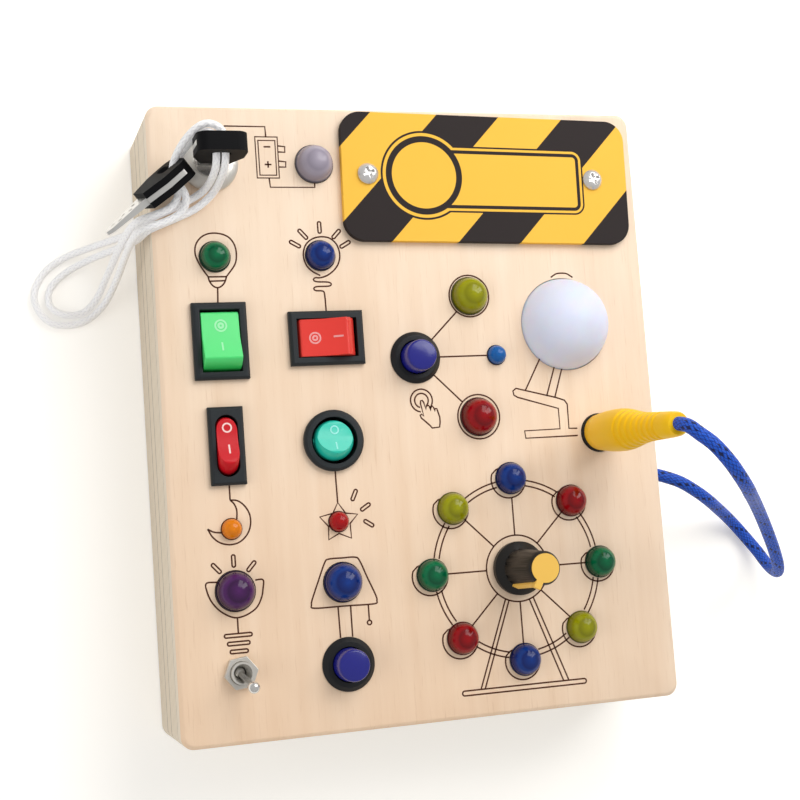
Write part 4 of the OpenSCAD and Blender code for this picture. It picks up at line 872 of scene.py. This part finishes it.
dress("sign_plate", signFinish(), 0.45, 3, name="sign_board")
brightScrew = metalFinish("bright_screw", paint(240, 238, 236), 0.2, metal=0.7)
dress("sign_screws", brightScrew, 0.1, name="sign_screw_heads")
print("sign is done")


# things that repeat: drawn lines and lenses

def groupTree(name, inputs):
    tree = bpy.data.node_groups.new(name, "GeometryNodeTree")
    tree.interface.new_socket(name="Geometry", in_out="INPUT", socket_type="NodeSocketGeometry")
    for label, kind in inputs.items():
        tree.interface.new_socket(name=label, in_out="INPUT", socket_type="NodeSocket" + kind)
    tree.interface.new_socket(name="Geometry", in_out="OUTPUT", socket_type="NodeSocketGeometry")
    sheet = Sheet(tree)
    entry = tree.nodes.new("NodeGroupInput")
    return sheet, {label: Signal(sheet, entry.outputs[label]) for label in ["Geometry", *inputs]}


def closeTree(sheet, shape, material):
    real = sheet.form("RealizeInstances", None, {0: shape})
    merged = sheet.form("MergeByDistance", None, {"Geometry": real, "Distance": 1e-6})
    painted = sheet.form("SetMaterial", None, {"Geometry": merged, "Material": material})
    leave = sheet.tree.nodes.new("NodeGroupOutput")
    sheet.feed(leave.inputs[0], painted)
    return sheet.tree


def grow(made, tree, values):
    modifier = made.modifiers.new("grow", "NODES")
    modifier.node_group = tree
    for item in tree.interface.items_tree:
        if item.item_type == "SOCKET" and item.in_out == "INPUT" and item.name in values:
            modifier[item.identifier] = values[item.name]
    return settle(made)


lineSet = {"width": 0.43, "height": 0.05, "step": 0.35}
lineSheet, lineIn = groupTree("drawn_lines", {"Width": "Float", "Height": "Float", "Material": "Material"})
curve = lineSheet.form("MeshToCurve", None, {0: lineIn["Geometry"]})
curve = lineSheet.form("SetCurveNormal", {"mode": "Z_UP"}, {0: curve})
profile = lineSheet.form("CurvePrimitiveQuadrilateral", {"mode": "RECTANGLE"},
                         {"Width": lineIn["Width"], "Height": lineIn["Height"]})
tube = lineSheet.form("CurveToMesh", None, {"Curve": curve, "Profile Curve": profile, "Fill Caps": True})
lineTree = closeTree(lineSheet, tube, lineIn["Material"])


strokes = []  # (points, closed)


def flow(points, closed):  # a smooth plan curve through the points
    flat = [(x, y, 0.0) for x, y in points]
    if closed:
        flat = flat[-2:] + flat + flat[:2]
    fine = along(flat, lineSet["step"])
    if closed:  # from the first point round to it again
        away = np.linalg.norm(fine - np.array(flat[2]), axis=1)
        half = len(fine) // 2
        fine = fine[int(np.argmin(away[:half])):half + int(np.argmin(away[half:]))]
    return [tuple(p[:2]) for p in fine]


def draw(*numbers, curved=False, closed=False):  # x and y in turn
    points = list(zip(numbers[::2], numbers[1::2]))
    strokes.append((flow(points, closed) if curved else points, closed))


def ring(*place, closed=True, **more):
    strokes.append((circle(*place, **more), closed))


def drawPill(x0, y0, x1, y1, radius):
    heading = math.degrees(math.atan2(y1 - y0, x1 - x0))
    strokes.append((circle(x1, y1, radius, heading - 90, heading + 90, 10)
                    + circle(x0, y0, radius, heading + 90, heading + 270, 10), True))


wheel = {"x": 25.0, "y": -46.0, "lamps": 25.4, "hub": 9.3, "rims": (24.9, 23.4), "hide": 10.6,
         "arc": (-0.6, -0.35, 5.2), "spokes": (19.8, *[20.9] * 7)}
# bulb over the green rocker
draw(-57.6, 38.6, -59.5, 41.6, -60.7, 44.6, -60.5, 47.3, -59, 49.4, -56.7, 50.5, -53.9, 50.5, -51.4, 49.5,
     -49.9, 47.4, -49.5, 44.7, -50.1, 41.9, -52.6, 38.6, curved=True)
draw(-57.6, 38.6, -57.3, 37.4, -56.4, 36.1, -55.2, 35.6, -54, 36.1, -53.1, 37.2, -52.6, 38.6, curved=True)
draw(-57.6, 38.6, -52.6, 38.6)
draw(-57.2, 37.4, -53.1, 37.5)
draw(-55.2, 35.6, -55.4, 31.4)
# lamp with rays over the red rocker
draw(-26.4, 38.5, -28.7, 39.8, -30.2, 41.6, -30.8, 44.2, -30.1, 46.9, -28.2, 48.7, -25.6, 49.4, -23, 49,
     -21.1, 47.2, -20.4, 44.6, -20.8, 42.2, -22.1, 40.2, -24.2, 38.6, -26.3, 37.9, -27.9, 37.9, -28.4, 37.3,
     -27.5, 36.8, -24.2, 36.6, -23.4, 36, -24.2, 35.5, -27.6, 35.4, -28.5, 34.9, -27.9, 34.3, -25.9, 34.1,
     -25.5, 32.9, -25.4, 28.4, curved=True)
# moon
draw(-55.4, -17.9, -55.4, -21.8)
draw(-55.4, -21.8, -53.4, -22.1, -51.6, -23.6, -50.4, -25.9, -50.3, -28.6, -51.3, -31.1, -53.4, -33, -56,
     -33.6, -58.6, -33, -60.6, -31.4, -61.9, -29.1, curved=True)
draw(-55.4, -21.8, -54.4, -22.9, -53.8, -24.6, -53.9, -27.0, curved=True)
draw(-61.9, -29.1, -60.3, -30, -58.3, -30.3, curved=True)
# star
draw(-26, -15.8, -25.9, -24.3)
draw(-25.9, -24.3, -23.9, -27.3, -20.5, -27.8, -22.8, -30.2, -22.7, -34.2, -26.1, -32.7, -29.1, -34.2,
     -28.9, -30.6, -31.2, -27.9, -27.4, -27.1, closed=True)
# bowl lamp
draw(-60.2, -43.2, -63.1, -43.3, -63, -45.6, -62, -48.2, -60.1, -50.6, -57.6, -52.3, -55.4, -52.9, -52.7,
     -52.3, -50.1, -50.7, -48.6, -48.2, -48, -45.7, -47.9, -43.5, -50, -43.4, curved=True)
draw(-55.4, -52.9, -55.4, -56.9)
# desk shade
draw(-29.5, -39.4, -25.8, -39.35, -22.2, -39.4, -20.9, -40.4, -19.0, -45.2, -17, -50.1, -16.8, -51.6, -17.6,
     -52.4, -25.5, -52.3, -34.3, -52.2, -35.1, -51.2, -34.8, -49.8, -32.9, -45.3, -30.7,
     -40.3, curved=True, closed=True)
draw(-27.8, -52.5, -27.7, -60.7)
draw(-24.3, -52.5, -24.3, -60.7)
draw(-19.3, -52.5, -19.3, -56.7)
ring(-19.3, -57.3, 0.6, steps=16)
# touch button's lines and rings
ring(16.9, 31.9, 6.0)
ring(17.0, -2.7, 6.3)
draw(4.7, 19.7, 12.8, 27.5)
draw(6.2, 14.7, 21.2, 14.7)
draw(4.3, 9.9, 12.4, 1.7)
ring(0.3, 2.6, 3.2, -44, 262, closed=False)
ring(0.3, 2.6, 2.0, -50, 255, closed=False)
draw(-0.05, 1.7, 0.04, 2.5, 0.56, 2.6, 0.91, 2.06, 1.43, 0.0, 1.6, 0.95, 2.3, 1.15, 2.65, 0.46, 2.82, -0.44,
     2.91, 0.55, 3.43, 0.9, 3.87, 0.19, 4.04, -0.6, 4.21, 0.19, 4.65, 0.1, 4.91, -0.8, 5.34, -2.3, 5.34,
     -3.65, 5.08, -5.08, 2.91, -5.26, 2.3, -4.54, 1.17, -3.47, -0.13, -2.31, -0.4, -1.51, 0.04, -1.24, 0.65,
     -1.78, closed=True)
# desk lamp under the dome
draw(37.1, 13.2, 31.9, 4.3)
draw(41.6, 11.2, 38.3, 2.3)
draw(43.9, 10.6, 40.8, 1.8)
draw(47, -7.4, 44.4, -7.3, 44.5, -0.3, 43.7, 0.9, 41.1, 1.8, 29, 4.9, 28, 4.2, 28.2, 3, 29.3, 2.3, 41.6,
     -1.4, 41.6, -7.3, 30.6, -7.4, 30.8, -9.5, 47, -9.5)
draw(42.7, 36.9, 44.4, 37.9, 46, 38.1, 47.8, 37.9, 49.6, 36.8, curved=True)
# battery and its wires
draw(-42.3, 77.6, -36, 77.6, -36.1, 66, -42.3, 66, closed=True)
draw(-41.5, 76.6, -36.7, 76.6, -36.8, 66.8, -41.5, 66.8, closed=True)
draw(-36, 75.1, -34, 74.9, -34.1, 73.3, -36, 73.4)
draw(-36, 70.8, -34, 70.6, -34.1, 69.1, -36, 69.1)
draw(-40, 74.8, -38.1, 74.8)
draw(-40, 69.8, -38.1, 69.8)
draw(-39.05, 70.7, -39.05, 68.9)
draw(-50.7, 80.5, -39.3, 80.5, -39.2, 77.6)
draw(-39, 66, -38.8, 63.4, -26.2, 63.4, -26.2, 64.6)
# wheel stand
ring(wheel["x"], wheel["y"], wheel["hub"], steps=60)
draw(20.7, -54.2, 11.4, -78.2)
draw(21.7, -54.7, 12.6, -78.3)
draw(27.8, -54.8, 36.2, -78.3)
draw(29, -54.3, 37.8, -78.3)
drawPill(6.5, -79, 42.5, -79.1, 0.65)
# rays and bars
for ends in ((-34, 48, -31.9, 46.8), (-31.4, 51.1, -29.7, 49.2), (-25.7, 53.2, -25.7, 50.9),
             (-20.2, 51, -21.8, 49.3), (-17.6, 47.8, -19.7, 46.6), (-20.6, -21.5, -21.6, -23.6),
             (-17.2, -25.4, -19.1, -26.6), (-18.4, -29.9, -16.6, -31.1), (-61, -38.7, -59.4, -40.5),
             (-55.5, -36.8, -55.5, -39.1), (-50, -38.8, -51.6, -40.6), (-58.7, -57.5, -52.2, -57.5),
             (-58, -59.6, -52.9, -59.6), (-57.4, -61.7, -53.5, -61.7)):
    drawPill(*ends, 0.46)
# the wheel's spokes, the arcs beside its lamps and its two rims
for k, spoke in enumerate(wheel["spokes"]):
    turn = 90 - 45 * k
    cosine, sine = math.cos(math.radians(turn)), math.sin(math.radians(turn))
    ends = [(wheel["x"] + r * cosine, wheel["y"] + r * sine) for r in (wheel["hub"], spoke, wheel["lamps"])]
    strokes.append((ends[:2], False))
    lampX, lampY = ends[2]
    start = [(lampX - 2.2, lampY + 3.3), (lampX - 4.2, lampY + 2.6)]
    arcX, arcY, radius = wheel["arc"]
    strokes.append((start + circle(lampX + arcX, lampY + arcY, radius, 160, 376, 22), False))
    for rim in wheel["rims"]:
        ring(wheel["x"], wheel["y"], rim, turn + wheel["hide"], turn + 45 - wheel["hide"], 12, closed=False)

vertices, edges = [], []
for points, closed in strokes:
    start = len(vertices)
    vertices += [tuple(onFace(x, y, 0.005)) for x, y in points]
    edges += [(start + k, start + k + 1) for k in range(len(points) - 1)]
    if closed:
        edges.append((len(vertices) - 1, start))
drawn = meshObject("drawn_lines", vertices, [], edges)
burnt = plasticFinish("burnt_line", paint(92, 55, 40), 0.8, vary=0.1, specular=0.2)
drawn = grow(drawn, lineTree, {"Width": lineSet["width"] * millimetre, "Material": burnt.material,
                               "Height": lineSet["height"] * millimetre})
finishPiece(drawn, burnt, "base")

lensSet = {  # slot, deep and clear colours, and the colour of the smallest where it differs
    "blue": ("blue_lens", paint(8, 22, 86), paint(20, 64, 146), paint(26, 118, 196)),
    "red": ("red_lens", paint(98, 2, 8), paint(170, 8, 16), paint(186, 14, 18)),
    "green": ("green_lens", paint(0, 66, 40), paint(4, 124, 76)),
    "lime": ("lime_lens", paint(120, 118, 2), paint(164, 166, 14)),
    "purple": ("violet_lens", paint(46, 16, 54), paint(90, 38, 106)),
    "amber": ("violet_lens", paint(176, 84, 2), paint(232, 124, 8), paint(240, 142, 12)),
    "lilac": ("violet_lens", paint(142, 134, 148), paint(174, 166, 180)),
}
lensStandsFor = {"blue": ["blue_lenses"], "red": ["red_lenses"], "green": ["green_lenses"],
                 "lime": ["lime_lenses"], "lilac": ["lone_lenses"]}
ringAt = [(wheel["x"] + wheel["lamps"] * math.sin(math.radians(45 * k)),
           wheel["y"] + wheel["lamps"] * math.cos(math.radians(45 * k)), 9.2) for k in range(8)]
lensSpots = {  # x, y and diameter
    "blue": [(-26, 44.1, 8.5), (-26, -45.9, 10.8), (23.8, 14.7, 5.6), ringAt[0], ringAt[4]],
    "red": [(-26, -29.5, 5.6), (16.9, -2.7, 10.8), ringAt[1], ringAt[5]],
    "green": [(-55.5, 44.1, 8.5), ringAt[2], ringAt[6]],
    "lime": [(16.9, 31.9, 10.8), ringAt[3], ringAt[7]],
    "purple": [(-55.5, -45.9, 10.8)], "amber": [(-55.5, -29.5, 5.6)], "lilac": [(-26, 70, 10.8)],
}


def lensShape(name, profile):
    made = turned(name, [(r * 1000, z * 1000) for r, z in profile], Vector((0, 0, 0)), 48)
    across = made.data.attributes.new("across", "FLOAT", "POINT")
    for k, vertex in enumerate(made.data.vertices):
        across.data[k].value = min(1.0, math.hypot(vertex.co.x, vertex.co.y) * 2)
    return made


# a dome on a short dark wall, and below the face a narrower neck with a lip behind the sheet
rise = [math.radians(a) for a in range(0, 90, 6)]
capProfile = [(0.5, 0), (0.497, 0.018), (0.486, 0.03),
              *[(0.472 * math.cos(a), 0.03 + 0.46 * math.sin(a)) for a in rise], (0, 0.49)]
holderProfile = [(0, -0.0069), (0.51, -0.0069), (0.51, -0.0059), (0.455, -0.0059), (0.455, -0.0006),
                 (0.5, -0.0006), (0.5, 0.0)]
capShape = lensShape("cap_shape", capProfile)
holderShape = lensShape("holder_shape", holderProfile)

lensSheet, lensIn = groupTree("lens_row", {"Cap": "Object", "Holder": "Object", "Material": "Material"})
size = lensSheet.form("InputNamedAttribute", {"data_type": "FLOAT"}, {"Name": "diameter"})
parts = []
for label in ("Cap", "Holder"):
    info = lensSheet.form("ObjectInfo", None, {"Object": lensIn[label]}).socket.node
    shape = Signal(lensSheet, info.outputs["Geometry"])
    high = size if label == "Cap" else 1.0
    scale = lensSheet.node("ShaderNodeCombineXYZ", None, {0: size, 1: size, 2: high})
    points = lensSheet.form("MeshToPoints", None, {0: lensIn["Geometry"]})
    spread = {"Points": points, "Instance": shape, "Scale": scale}
    parts.append(lensSheet.form("InstanceOnPoints", None, spread))
both = lensSheet.form("JoinGeometry", None, {0: parts[0]})
lensSheet.tree.links.new(parts[1].socket, both.socket.node.inputs[0])
lensTree = closeTree(lensSheet, both, lensIn["Material"])


def lensFinish(name, deep, clear, pale=None):
    finish = Finish(name, coat=0.12, coatRough=0.06, rough=0.14, specular=0.3)
    across = finish.node("ShaderNodeAttribute", {"attribute_name": "across"}, output=2)
    # painted light: a lighter middle and a lighter ring near the rim stand in for light seen through the
    # lens and reflected inside it
    middle = 1.0 - (across * 1.5).of("MINIMUM", 1.0)
    painted_ring_reflection = across.between(0.58, 0.84, 0.14)
    cloud = finish.noise(420.0, 2.0)
    tone = finish.mix((middle * 0.7 + painted_ring_reflection * 0.65) * (0.7 + cloud * 0.5), deep, clear)
    wall = across.between(0.962, 2.0, 0.02)
    # the smallest lenses are lighter
    small = finish.node("ShaderNodeAttribute", {"attribute_name": "diameter"}, output=2) < 0.007
    tone = finish.mix(small * 0.5, tone, pale or clear)
    finish.set(colour=finish.mix(wall * 0.85, tone, dimmed(deep, 0.22)),
               normal=finish.bump(cloud, 0.00001, 0.4))
    return finish


for colour, spots in lensSpots.items():
    slot, *tones = lensSet[colour]
    seeds = meshObject(colour + "_lens_row", [onFace(x, y, 0.4) for x, y, d in spots], [])
    attribute = seeds.data.attributes.new("diameter", "FLOAT", "POINT")
    for seed, (x, y, d) in zip(attribute.data, spots):
        seed.value = d * millimetre
    finish = lensFinish(colour + "_lens", *tones)
    row = grow(seeds, lensTree, {"Cap": capShape, "Holder": holderShape, "Material": finish.material})
    finishPiece(smooth(row), finish, "base", lensStandsFor.get(colour, ()))
for shape in (capShape, holderShape):
    bpy.data.objects.remove(shape)

# painted light: the dome is given a faint bluish glow to lighten it, though it is not lit
domeFinish = plasticFinish("white_dome", paint(222, 223, 240), 0.4, specular=0.3, soft=0.5,
                           softScale=0.006, glow=0.06, glowColour=(0.8, 0.82, 1, 1))
dress("lamp_dome", domeFinish, angle=30, name="dome_shell")
print("lines and lenses are done")
